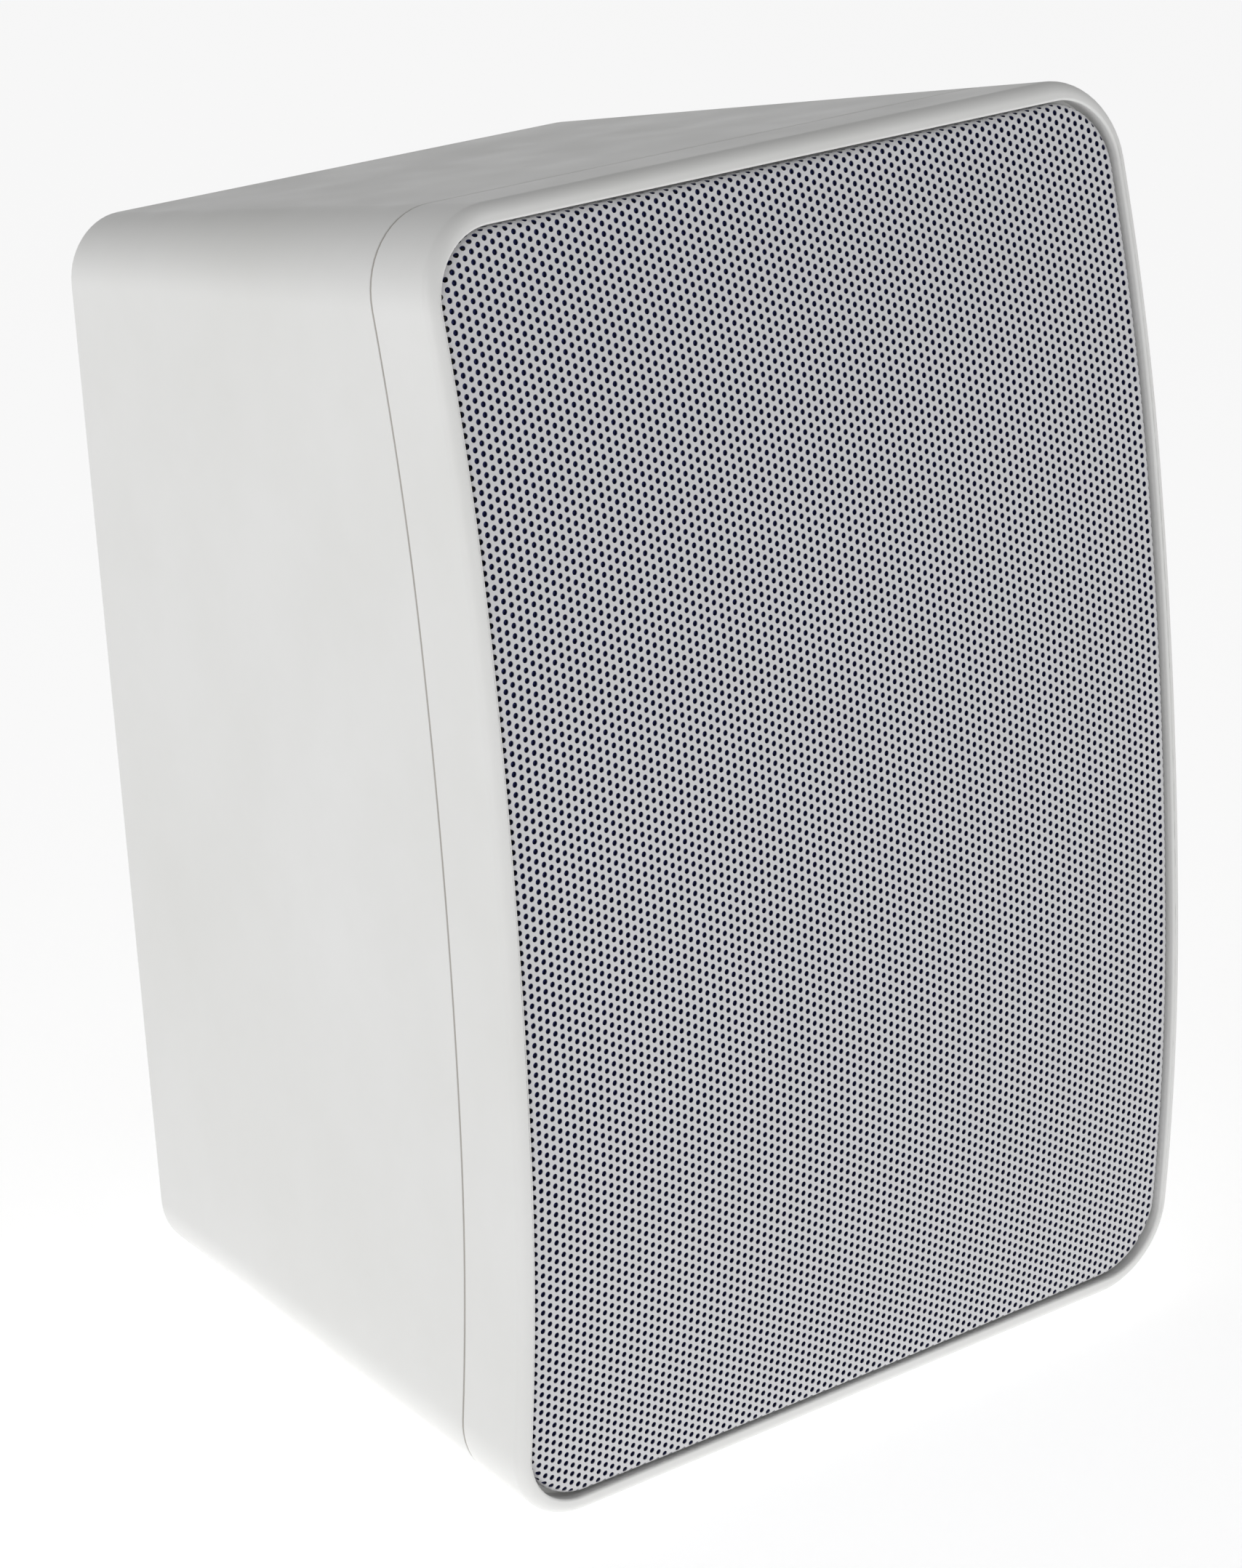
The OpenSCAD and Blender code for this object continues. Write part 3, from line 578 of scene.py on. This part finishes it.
def front_frame():
    s = Solid()
    centre = (EDGE_R + EDGE_R * SIN_T) / COS_T
    loops = [skin(SEAM_D, WALL), skin(SEAM_D, SEAM_R + 0.1)]
    for a in (0, 45, 90):
        turn = math.radians(a)
        loops.append(
            skin(SEAM_D - SEAM_R + SEAM_R * math.cos(turn), SEAM_R - SEAM_R * math.sin(turn))
        )
    loops.append(skin(SEAM_D - SEAM_R - 0.2))
    wall_end = EDGE_R + EDGE_R * SIN_T
    loops.append(skin(wall_end + 0.25))
    for k in range(9):
        turn = (math.pi / 2 + TAPER) * (1 - k / 8)
        u, v = centre - EDGE_R * math.sin(turn), EDGE_R - EDGE_R * math.cos(turn)
        loops.append(skin(v, u - v * SLOPE))
    lip = [(LIP_R + 0.08, 0.0)]
    for a in (0, 30, 60, 90):
        turn = math.radians(a)
        lip.append((LIP_R - LIP_R * math.sin(turn), LIP_R - LIP_R * math.cos(turn)))
    lip += [(0.0, LIP_R + 0.1), (0.0, LEDGE_D)]
    loops += [bowed(OPEN_W + u, OPEN_H + u, OPEN_R + u, v) for u, v in lip]
    inner = (OPEN_W - LEDGE_W, OPEN_H - LEDGE_W, OPEN_R - LEDGE_W)
    loops += [bowed(*inner, LEDGE_D), flat(*inner, BAFFLE_Y)]
    rim, plate_edge = s.loft(loops)

    seats = []
    behind = []
    for z, seat_r, hole_r in ((WOOFER_Z, 66.7, 57.0), (TWEETER_Z, 39.2, 31.0)):
        rings = [(seat_r + 0.2, BAFFLE_Y), (seat_r, BAFFLE_Y + 0.2), (seat_r, BAFFLE_Y + 3)]
        rings += [(hole_r, BAFFLE_Y + 3), (hole_r, BAFFLE_Y + BAFFLE_T - 0.05)]
        first, last = s.loft([circle(0, z, r, y, 96) for r, y in rings])
        seats.append(first)
        behind.append(last)
    s.fill(plate_edge, seats)
    back_y = BAFFLE_Y + BAFFLE_T - 0.05
    for spots, length in (
        (driver_posts(WOOFER_Z, 62), 13.0),
        (driver_posts(TWEETER_Z, 34.9), 9.0),
    ):
        for x, z in spots:
            root, tip = s.loft(
                [circle(x, z, r, back_y + d, 24) for r, d in ((3.6, 0), (3.5, length))]
            )
            s.faces.append(tuple(tip))
            behind.append(root)
    inside = s.loop(skin_at(back_y, WALL))
    s.fill(inside, behind)
    s.bridge(rim, inside)
    return build("front_frame", s, "cabinet", "cabinet_white", ["front_baffle"])


# ---------- rear shell ----------

PORT_Z, PORT_R = 78.0, 18.0
CUP_Z = -58.0
INSERT_X, INSERT_Z, INSERT_LEN = 35.0, 46.0, 12.0
REAR_EDGE_R = 1.0
MOUTH_R = 0.3  # rounding where a recess meets the back


def rear_body():
    s = Solid()
    start = SEAM_D + SEAM_GAP
    loops = [skin(start, WALL), skin(start, SEAM_R + 0.1)]
    for a in (0, 45, 90):
        turn = math.radians(a)
        loops.append(
            skin(start + SEAM_R - SEAM_R * math.cos(turn), SEAM_R - SEAM_R * math.sin(turn))
        )
    loops.append(skin(start + SEAM_R + 0.2))
    centre = REAR_EDGE_R * (1 - SIN_T) / COS_T
    loops.append(skin_at(CAB_D - REAR_EDGE_R * (1 - SIN_T) - 0.25))
    for k in range(7):
        turn = (math.pi / 2 - TAPER) * (1 - k / 6)
        u = centre - REAR_EDGE_R * math.sin(turn)
        w = REAR_EDGE_R - REAR_EDGE_R * math.cos(turn)
        loops.append(skin_at(CAB_D - w, u + w * SLOPE))
    loops.append(skin_at(CAB_D, centre + 0.15))
    rim, back = s.loft(loops)

    def opening(ring, recess_half, hole_half):
        """A recess 2 mm deep with a hole in its floor; ring(size, y) gives its outline."""
        eased = MOUTH_R * 0.3
        sizes = [(recess_half + MOUTH_R, CAB_D), (recess_half + eased, CAB_D - eased)]
        sizes += [(recess_half, CAB_D - MOUTH_R), (recess_half, CAB_D - FLANGE_DEPTH)]
        sizes += [(hole_half, CAB_D - FLANGE_DEPTH), (hole_half, BACK_IN)]
        return s.loft([ring(size, y) for size, y in sizes])

    port_out, port_in = opening(lambda r, y: circle(0, PORT_Z, r, y, 96), 27.2, 20.2)
    cup_out, cup_in = opening(
        lambda w, y: flat(w, w - 2, max(w - 27.2, 3.0) if w > 30 else 3.0, y, CUP_Z), 31.2, 26.2
    )
    outs, ins = [port_out, cup_out], [port_in, cup_in]
    for sx in (-1, 1):
        x = sx * INSERT_X
        mouth, floor = s.loft(
            [
                circle(x, INSERT_Z, r, y, 48)
                for r, y in ((4.75, CAB_D), (4.45, CAB_D - 0.3), (4.45, CAB_D - INSERT_LEN))
            ]
        )
        s.faces.append(tuple(floor))
        outs.append(mouth)
        root, tip = s.loft([circle(x, INSERT_Z, 7.0, y, 48) for y in (BACK_IN, 140.0)])
        s.faces.append(tuple(tip))
        ins.append(root)
    s.fill(back, outs)
    inside = s.loop(skin_at(BACK_IN, WALL))
    s.fill(inside, ins)
    s.bridge(inside, rim)
    for x, z in FRAME_SCREWS:
        s.post(x, z, 4.5, 23.0 + float(bow(z)), 50.0)
    for sx in (-1, 1):
        for sz in (-1, 1):
            s.post(sx * 40.5, 8 + sz * 23.5, 3.5, 139.6, BACK_IN + 0.5)
    return build("rear_body", s, "cabinet", "cabinet_white", ["rear_shell"])


def seam_gasket():
    s = Solid()
    front, back = SEAM_D + 0.01, SEAM_D + SEAM_GAP - 0.01
    s.loft(
        [
            skin(front, WALL),
            skin(front, 0.16),
            skin((front + back) / 2, 0.1),
            skin(back, 0.16),
            skin(back, WALL),
        ],
        closed=None,
    )
    return build("seam_gasket", s, "cabinet", "gasket_foam", ["cabinet_gasket"])


front_frame()
rear_body()
seam_gasket()

# ---------- grille: perforated sheet, worked out flat and then pressed to shape ----------

SHEET_T = 0.8
HOLE_R = 0.6
PITCH = 2.0
COLUMN = PITCH * math.sqrt(3) / 2
ROLL_R = 1.6
ROLL_FLAT = 4.71  # flat length of the turned-in edge
FACE_W, FACE_H, FACE_R = 86.45, 125.95, 13.6  # where the edge starts to turn
RECESS_MIDDLE, RECESS_SIDE = 0.05, 1.1
ROW_SHIFT = 0.27
STRIPS = 5

_z = np.linspace(0, 140, 1401)
_slope = (bow_slope(_z[1:]) + bow_slope(_z[:-1])) / 2
_s = np.concatenate([[0], np.cumsum(np.sqrt(1 + _slope**2) * 0.1)])
FACE_S = float(np.interp(FACE_H, _z, _s))


def recess(x):
    return RECESS_MIDDLE + (RECESS_SIDE - RECESS_MIDDLE) * (x / FACE_W) ** 2


def edge_distance(x, s, w, h, r):
    """Distance outside a rounded rectangle, and the outward normal."""
    px, ps = np.abs(x) - (w - r), np.abs(s) - (h - r)
    corner = (px > 0) & (ps > 0)
    length = np.hypot(px, ps)
    side = px > ps
    distance = np.where(corner, length - r, np.where(side, px - r, ps - r))
    safe = np.where(length == 0, 1, length)
    nx = np.where(corner, px / safe, np.where(side, 1.0, 0.0)) * np.sign(x)
    ns = np.where(corner, ps / safe, np.where(side, 0.0, 1.0)) * np.sign(s)
    return distance, nx, ns


def pressed(x, s, depth):
    """Place of the flat sheet's point (x, s) once pressed, depth below its outer face."""
    distance, nx, ns = edge_distance(x, s, FACE_W, FACE_S, FACE_R)
    out = np.maximum(distance, 0)
    qx, qs = x - nx * out, s - ns * out
    z = np.sign(qs) * np.interp(np.abs(qs), _s, _z)
    dydz = bow_slope(z)
    dydx = 2 * (RECESS_SIDE - RECESS_MIDDLE) * qx / FACE_W**2
    point = np.stack([qx, bow(z) + recess(qx), z], 1)
    along_x = np.stack([np.ones_like(qx), dydx, np.zeros_like(qx)], 1)
    along_s = np.stack([np.zeros_like(qx), dydz, np.ones_like(qx)], 1)
    inward = np.stack([-dydx, np.ones_like(qx), -dydz], 1)
    inward /= np.linalg.norm(inward, axis=1)[:, None]
    outward = nx[:, None] * along_x + ns[:, None] * along_s
    norm = np.linalg.norm(outward, axis=1)[:, None]
    e1 = outward / np.where(norm == 0, 1, norm)
    full = np.arctan2(inward[:, 1], e1[:, 1])
    turn = np.minimum(out / ROLL_R, full)
    rest = np.maximum(out - ROLL_R * full, 0)
    sin_a, cos_a = np.sin(turn)[:, None], np.cos(turn)[:, None]
    point = point + ROLL_R * (sin_a * e1 + (1 - cos_a) * inward)
    point = point + rest[:, None] * (cos_a * e1 + sin_a * inward)
    face_normal = -cos_a * inward + sin_a * e1
    return point - face_normal * np.reshape(depth, (-1, 1))


def cell_centre(cell):
    """Middle of the hole in each cell, given as column and row."""
    s = cell[:, 1] * PITCH + ROW_SHIFT + (cell[:, 0] % 2) * PITCH / 2
    return np.stack([(cell[:, 0] + 0.5) * COLUMN, s], 1)


def sheet_outline(w, h, r, step):
    """Points along a rounded rectangle, about step apart."""
    points = []
    for k, (sx, ss) in enumerate(((1, 1), (-1, 1), (-1, -1), (1, -1))):
        cx, cs = sx * (w - r), ss * (h - r)
        n = max(int(math.pi / 2 * r / step), 4)
        for i in range(n):
            a = math.radians(90 * k + 90 * i / n)
            points.append((cx + r * math.cos(a), cs + r * math.sin(a)))
        side = 2 * ((w if k % 2 == 0 else h) - r)
        a = math.radians(90 * (k + 1))
        x0, s0 = cx + r * math.cos(a), cs + r * math.sin(a)
        direction = ((-1, 0), (0, -1), (1, 0), (0, 1))[k]
        n = max(int(side / step), 2)
        for i in range(n):
            points.append((x0 + direction[0] * side * i / n, s0 + direction[1] * side * i / n))
    return np.array(points)


def border_edges(triangles):
    """Edges that only one triangle has, in that triangle's direction."""
    edges = np.concatenate([triangles[:, [0, 1]], triangles[:, [1, 2]], triangles[:, [2, 0]]])
    key = np.sort(edges, 1)
    key = key[:, 0].astype(np.int64) * (triangles.max() + 1) + key[:, 1]
    _, first, count = np.unique(key, return_index=True, return_counts=True)
    return edges[first[count == 1]]


def pressed_sheet(name, flat_points, triangles, top, thickness, uv=None):
    """Mesh of a pressed sheet from its flat triangles: face, back, and walls along every edge."""
    n = len(flat_points)
    x, s = flat_points.T
    edges = border_edges(triangles)
    face, back = pressed(x, s, top), pressed(x, s, top + thickness)
    ends = edges.reshape(-1)
    used, lookup = np.unique(ends, return_inverse=True)
    wall_edges = lookup.reshape(-1, 2)
    m = len(used)
    points = np.concatenate([face, back, face[used], back[used]])
    a, b = wall_edges[:, 0] + 2 * n, wall_edges[:, 1] + 2 * n
    walls = np.concatenate([np.stack([b, a, a + m], 1), np.stack([b, a + m, b + m], 1)])
    faces = np.concatenate([triangles, triangles[:, ::-1] + n, walls])
    mesh = bpy.data.meshes.new(name)
    mesh.from_pydata(place(points).tolist(), [], faces.tolist())
    # rim: 1 on the face, the back and the walls' front edge, 0 on the walls' back edge; the
    # grille's paint turns the low end into painted shade on the hole walls
    rim = np.ones(len(points), np.float32)
    rim[2 * n + m :] = 0.0
    mesh.attributes.new("rim", "FLOAT", "POINT").data.foreach_set("value", rim)
    return mesh, (used, n, m)


def hole_pattern():
    """The flat sheet as triangles, one column of holes after another: every hole is a
    twelve-sided ring in a six-sided cell, and the plain margin is filled in around the cells."""
    w, h, r = FACE_W + ROLL_FLAT, FACE_S + ROLL_FLAT, FACE_R + ROLL_FLAT
    columns = int(w / COLUMN) + 2
    rows = int(h / PITCH) + 2
    i, k = np.meshgrid(np.arange(-columns, columns), np.arange(-rows, rows), indexing="ij")
    i, k = i.reshape(-1), k.reshape(-1)
    x = (i + 0.5) * COLUMN
    s = k * PITCH + ROW_SHIFT + (i % 2) * PITCH / 2
    cell_r = PITCH / math.sqrt(3)
    keep = edge_distance(x, s, w, h, r)[0] < -(cell_r + 0.35)
    kept = set(zip(i[keep].tolist(), k[keep].tolist()))

    corner = np.radians(np.arange(6) * 60)
    ring = np.radians(np.arange(12) * 30)
    template = np.concatenate(
        [
            np.stack([cell_r * np.cos(corner), cell_r * np.sin(corner)], 1),
            np.stack([HOLE_R * np.cos(ring), HOLE_R * np.sin(ring)], 1),
        ]
    )
    sector = []
    for q in range(6):
        nxt, mid, last = (q + 1) % 6, 6 + 2 * q + 1, 6 + (2 * q + 2) % 12
        sector += [(6 + 2 * q, q, mid), (q, nxt, mid), (mid, nxt, last)]
    sector = np.array(sector)

    cx, cs, ci = x[keep], s[keep], i[keep]
    points = (np.stack([cx, cs], 1)[:, None, :] + template[None]).reshape(-1, 2)
    triangles = (sector[None] + (np.arange(len(cx)) * len(template))[:, None, None]).reshape(-1, 3)
    column_of = np.repeat(ci, len(sector))

    grid = np.round(points / 1e-4).astype(np.int64)
    _, first, inverse = np.unique(grid, axis=0, return_index=True, return_inverse=True)
    inverse = inverse.reshape(-1)
    points, triangles = points[first], inverse[triangles]

    edges = border_edges(triangles)
    middle = points[edges].mean(1)
    near = nearest_cell(middle)
    centre = cell_centre(near)
    outer = edges[np.linalg.norm(middle - centre, axis=1) > (HOLE_R + cell_r * 0.75) / 2]

    border = sheet_outline(w, h, r, 1.0)
    used, lookup = np.unique(outer.reshape(-1), return_inverse=True)
    zigzag = lookup.reshape(-1, 2)
    flat_in = [Vector(p) for p in np.concatenate([points[used], border]).tolist()]
    count = len(used)
    rim_edges = [(count + q, count + (q + 1) % len(border)) for q in range(len(border))]
    made = delaunay_2d_cdt(flat_in, zigzag.tolist() + rim_edges, [], 0, 1e-6)
    out_points = np.array([tuple(p) for p in made[0]])
    origin = made[3]
    band = np.array([t for t in made[2] if len(t) == 3])
    centroid = out_points[band].mean(1)
    inside = edge_distance(centroid[:, 0], centroid[:, 1], w, h, r)[0] < 0.02
    cells = nearest_cell(centroid)
    free = np.array([(a, b) not in kept for a, b in cells.tolist()])
    band = band[inside & free]
    ids = np.empty(len(out_points), np.int64)
    extra = []
    for q, from_points in enumerate(origin):
        source = from_points[0] if from_points else -1
        if 0 <= source < count:
            ids[q] = used[source]
        else:
            ids[q] = len(points) + len(extra)
            extra.append(out_points[q])
    band_column = nearest_cell(out_points[band].mean(1))[:, 0]
    band = ids[band]
    points = np.concatenate([points, np.array(extra)])
    p = points[band]
    area = np.cross(p[:, 1] - p[:, 0], p[:, 2] - p[:, 0])
    band[area < 0] = band[area < 0][:, ::-1]
    return points, np.concatenate([triangles, band]), np.concatenate([column_of, band_column])


def nearest_cell(points):
    """Column and row of the hole whose cell each point lies in."""
    best = None
    guess = np.round(points[:, 0] / COLUMN - 0.5).astype(int)
    for shift in (-1, 0, 1):
        i = guess + shift
        offset = ROW_SHIFT + (i % 2) * PITCH / 2
        k = np.round((points[:, 1] - offset) / PITCH).astype(int)
        d = np.hypot(points[:, 0] - (i + 0.5) * COLUMN, points[:, 1] - (k * PITCH + offset))
        if best is None:
            best, cell = d, np.stack([i, k], 1)
        else:
            closer = d < best
            best = np.where(closer, d, best)
            cell[closer] = np.stack([i, k], 1)[closer]
    return cell


def flat_uv(mesh, layout, flat_points):
    """Bake coordinates straight from the flat sheet: face on the left, back on the right,
    and each hole's wall inside its own hole."""
    used, n, m = layout
    low, high = flat_points.min(0), flat_points.max(0)
    cell = nearest_cell(flat_points)
    centre = cell_centre(cell)
    unit = (flat_points - low) / (high - low)
    sunk = (centre + (flat_points - centre) * 0.45 - low) / (high - low)
    half = np.array([0.48, 0.98])
    face = unit * half + 0.01
    back = face + np.array([0.5, 0.0])
    rim = np.hypot(*(flat_points - centre).T) < HOLE_R * 1.05
    wall_end = np.where(rim[:, None], sunk * half + 0.01, face)
    uv = np.concatenate([face, back, face[used], wall_end[used]]).astype(np.float32)
    corner = np.empty(len(mesh.loops), np.int32)
    mesh.loops.foreach_get("vertex_index", corner)
    mesh.uv_layers.new(name="OFBake").data.foreach_set("uv", uv[corner].reshape(-1))


def grille():
    points, triangles, column = hole_pattern()
    limits = np.linspace(column.min(), column.max() + 1, STRIPS + 1)
    for q in range(STRIPS):
        mine = triangles[(column >= limits[q]) & (column < limits[q + 1])]
        used, lookup = np.unique(mine.reshape(-1), return_inverse=True)
        flat_points, mine = points[used], lookup.reshape(-1, 3)
        name = f"grille_mesh_{q + 1}"
        mesh, layout = pressed_sheet(name, flat_points, mine, 0.0, SHEET_T)
        flat_uv(mesh, layout, flat_points)
        mesh.polygons.foreach_set("use_smooth", np.ones(len(mesh.polygons), bool))
        obj = bpy.data.objects.new(name, mesh)
        finish_piece(obj, "grille", "grille_white", ["grille_panel"])


def cloth():
    """Dark cloth stretched across the back of the perforated sheet."""
    w, h, r = FACE_W + 0.3, FACE_S + 0.3, FACE_R + 0.3
    border = sheet_outline(w, h, r, 2.5)
    gx, gs = np.meshgrid(np.arange(-34, 35) * 2.5, np.arange(-50, 51) * 2.5, indexing="ij")
    gx, gs = gx.reshape(-1), gs.reshape(-1)
    inner = edge_distance(gx, gs, w, h, r)[0] < -1.2
    every = np.concatenate([border, np.stack([gx[inner], gs[inner]], 1)])
    n = len(border)
    made = delaunay_2d_cdt(
        [Vector(p) for p in every.tolist()], [(q, (q + 1) % n) for q in range(n)], [], 1, 1e-6
    )
    points = np.array([tuple(p) for p in made[0]])
    triangles = np.array([t for t in made[2] if len(t) == 3])
    p = points[triangles]
    area = np.cross(p[:, 1] - p[:, 0], p[:, 2] - p[:, 0])
    triangles[area < 0] = triangles[area < 0][:, ::-1]
    mesh, _ = pressed_sheet("grille_backing", points, triangles, SHEET_T + 0.05, 0.45)
    shade(mesh, 40)
    obj = bpy.data.objects.new("grille_backing", mesh)
    finish_piece(obj, "grille", "acoustic_cloth", ["grille_cloth"])


grille()
cloth()

# ---------- back: port, terminals, inserts ----------


def port():
    """Flared tube: the bore opens in one smooth curve and turns out into the flange."""
    front, back = CAB_D - 58.0, CAB_D
    wall = 2.0
    flare = []
    for k in range(13):
        t = k / 12
        r = PORT_R + 1.2 * t * t + 3.6 * max(t - 0.72, 0) ** 2 / 0.28**2
        flare.append((r, 142.0 + 12.0 * t))
    profile = [(PORT_R + wall, front + 0.6)]
    profile += arc(PORT_R + wall / 2, front + 1.0, 1.0, 0, -180, 6)[1:]
    profile += [(PORT_R, 110.0), (PORT_R, 130.0), *flare[:-1]]
    profile += [(22.6, back - 0.12), (23.0, back - 0.02), (23.5, back)]
    profile += arc(27.0 - 0.5, back - 0.5, 0.5, 90, 0, 4)
    profile += [(27.0, CAB_D - FLANGE_DEPTH), (PORT_R + wall, CAB_D - FLANGE_DEPTH)]
    return lathe("port_tube", profile, 0.0, PORT_Z, "cabinet", "port_black", ["bass_port"])


def threaded_insert(name, x):
    """Brass insert with an M6 thread cut in its bore and a chamfered mouth."""
    s = Solid()
    sides, per_turn, pitch, length = 36, 8, 1.0, INSERT_LEN
    turns = int(length / pitch)
    y0 = CAB_D - length
    body = ((4.35, y0 + 0.05), (4.35, CAB_D - 0.3), (4.1, CAB_D - 0.02), (3.2, CAB_D - 0.02))
    rings = [circle(x, INSERT_Z, r, y, sides) for r, y in body]
    for k in range(turns * per_turn, -1, -1):
        ring = []
        for q in range(sides):
            phase = (k / per_turn + q / sides) % 1.0
            cut = 1 - abs(2 * phase - 1)
            fade = min(k, turns * per_turn - k, per_turn) / per_turn
            r = 2.5 + 0.45 * cut * fade
            a = 2 * math.pi * q / sides
            y = y0 + 0.1 + (length - 0.7) * k / (turns * per_turn)
            ring.append((x + r * math.cos(a), y, INSERT_Z + r * math.sin(a)))
        rings.append(ring)
    s.loft(rings, closed=None)
    return build(name, s, "cabinet", "insert_brass", ["bracket_inserts"], angle=30, weighted=False)


def lever_spring(name, x):
    """Torsion spring on the levers' pin: three turns of wire."""
    s = Solid()
    turns, per_turn, wire, mid = 3, 20, 0.22, 1.5
    pin_y, pin_z = 146.0, CUP_Z + 14
    rings = []
    for k in range(turns * per_turn + 1):
        a = 2 * math.pi * k / per_turn
        px = x - 0.5 + 1.0 * k / (turns * per_turn)
        ring = []
        for q in range(8):
            b = 2 * math.pi * q / 8
            r = mid + wire * math.cos(b)
            ring.append((px + wire * math.sin(b), pin_y + r * math.cos(a), pin_z + r * math.sin(a)))
        rings.append(ring)
    first, last = s.loft(rings)
    s.faces += [tuple(first), tuple(last)]
    return build(name, s, "cabinet", SLOT_OF["lever_springs"], ["lever_springs"], weighted=False)


def foot(name, x, y):
    """Rubber foot with a rounded edge and a shallow dish in its sole, in the frame's own axes."""
    rings = [(0.4, 0.35), (3.4, 0.3), (4.2, 0.05), (5.0, 0.0), (5.75, 0.1), (6.25, 0.45)]
    rings += [(6.45, 0.95), (6.5, 1.5), (6.5, FOOT_H)]
    sides = 64
    points, faces = [], []
    for r, z in rings:
        for q in range(sides):
            a = 2 * math.pi * q / sides
            points.append(((x + r * math.cos(a)) / 1000, (y + r * math.sin(a)) / 1000, z / 1000))
    for k in range(len(rings) - 1):
        for q in range(sides):
            p, n = k * sides + q, k * sides + (q + 1) % sides
            faces.append((p, n, n + sides, p + sides))
    faces.append(tuple(range(sides))[::-1])
    faces.append(tuple(range((len(rings) - 1) * sides, len(rings) * sides)))
    mesh = bpy.data.meshes.new(name)
    mesh.from_pydata(points, [], faces)
    shade(mesh, 40)
    obj = bpy.data.objects.new(name, mesh)
    return finish_piece(obj, "cabinet", "foot_rubber", ["rubber_feet"])


port()
for k, sx in enumerate((-1, 1)):
    threaded_insert(f"bracket_insert_{k + 1}", sx * INSERT_X)
    lever_spring(f"lever_spring_{k + 1}", sx * 16.0)
for k, (x, y) in enumerate(FEET):
    foot(f"foot_{k + 1}", x, y)
bevelled("terminal_housing", "terminal_cup", "cabinet", 0.35)
bevelled("terminal_wire_block", "terminal_block", "cabinet", 0.4)
bevelled("red_press_lever", "lever_red", "red_lever", 0.5, 3)
bevelled("black_press_lever", "lever_black", "black_lever", 0.5, 3)
bevelled("terminal_screw_heads", "terminal_screws", "cabinet", 0.25)

# ---------- the CAD nodes that stay ----------

for node_name, obj in nodes.items():
    obj.data.materials.clear()
    obj.data.materials.append(FINISHES[SLOT_OF[node_name]])

# ---------- floor, light, camera ----------


def studio():
    size = 6.0
    mesh = bpy.data.meshes.new("floor")
    corners = [(-size, -size, 0), (size, -size, 0), (size, size, 0), (-size, size, 0)]
    mesh.from_pydata(corners, [], [(0, 1, 2, 3)])
    floor = bpy.data.objects.new("floor", mesh)
    bpy.context.scene.collection.objects.link(floor)
    f = Finish("floor_white", 0.9, Specular_IOR_Level=0.1)
    f.mottle("#F4F4F4", 0.01, 400.0)
    f.shader.inputs["Emission Color"].default_value = (1, 1, 1, 1)
    f.shader.inputs["Emission Strength"].default_value = 0.62
    mesh.materials.append(f.material)

    # a soft sky, brighter towards the horizon than overhead
    world = bpy.data.worlds.new("studio")
    bpy.context.scene.world = world
    world.use_nodes = True
    tree = world.node_tree
    direction = tree.nodes.new("ShaderNodeTexCoord")
    split = tree.nodes.new("ShaderNodeSeparateXYZ")
    height = tree.nodes.new("ShaderNodeMapRange")
    for key, value in (("From Min", 0.0), ("From Max", 0.45), ("To Min", 0.62), ("To Max", 0.30)):
        height.inputs[key].default_value = value
    tree.links.new(direction.outputs["Generated"], split.inputs["Vector"])
    tree.links.new(split.outputs["Z"], height.inputs["Value"])
    tree.links.new(height.outputs["Result"], tree.nodes["Background"].inputs["Strength"])
    tree.nodes["Background"].inputs["Color"].default_value = (1, 1, 1, 1)

    target = Vector((0, 0, 0.13))
    lamps = {
        "key": ((-1.7, 0.25, 0.45), 1.4, 1.2, 5.1),
        "fill": ((-0.3, -2.0, 0.35), 1.6, 0.8, 4.6),
    }
    for name, (spot, width, height, power) in lamps.items():
        light = bpy.data.lights.new(name, "AREA")
        light.shape = "RECTANGLE"
        light.size, light.size_y, light.energy = width, height, power
        obj = bpy.data.objects.new(name, light)
        obj.location = spot
        obj.rotation_euler = (target - Vector(spot)).to_track_quat("-Z", "Y").to_euler()
        bpy.context.scene.collection.objects.link(obj)

    data = bpy.data.cameras.new("camera")
    data.lens, data.sensor_width, data.sensor_fit = 119.825, 36.0, "AUTO"
    data.clip_start, data.clip_end = 0.05, 50
    camera = bpy.data.objects.new("camera", data)
    camera.location = (-0.66707, -0.77477, 0.52502)
    camera.rotation_euler = [math.radians(a) for a in (68.1097, -0.7989, -40.6877)]
    bpy.context.scene.collection.objects.link(camera)
    bpy.context.scene.camera = camera
    bpy.context.scene.view_settings.view_transform = "Standard"


studio()
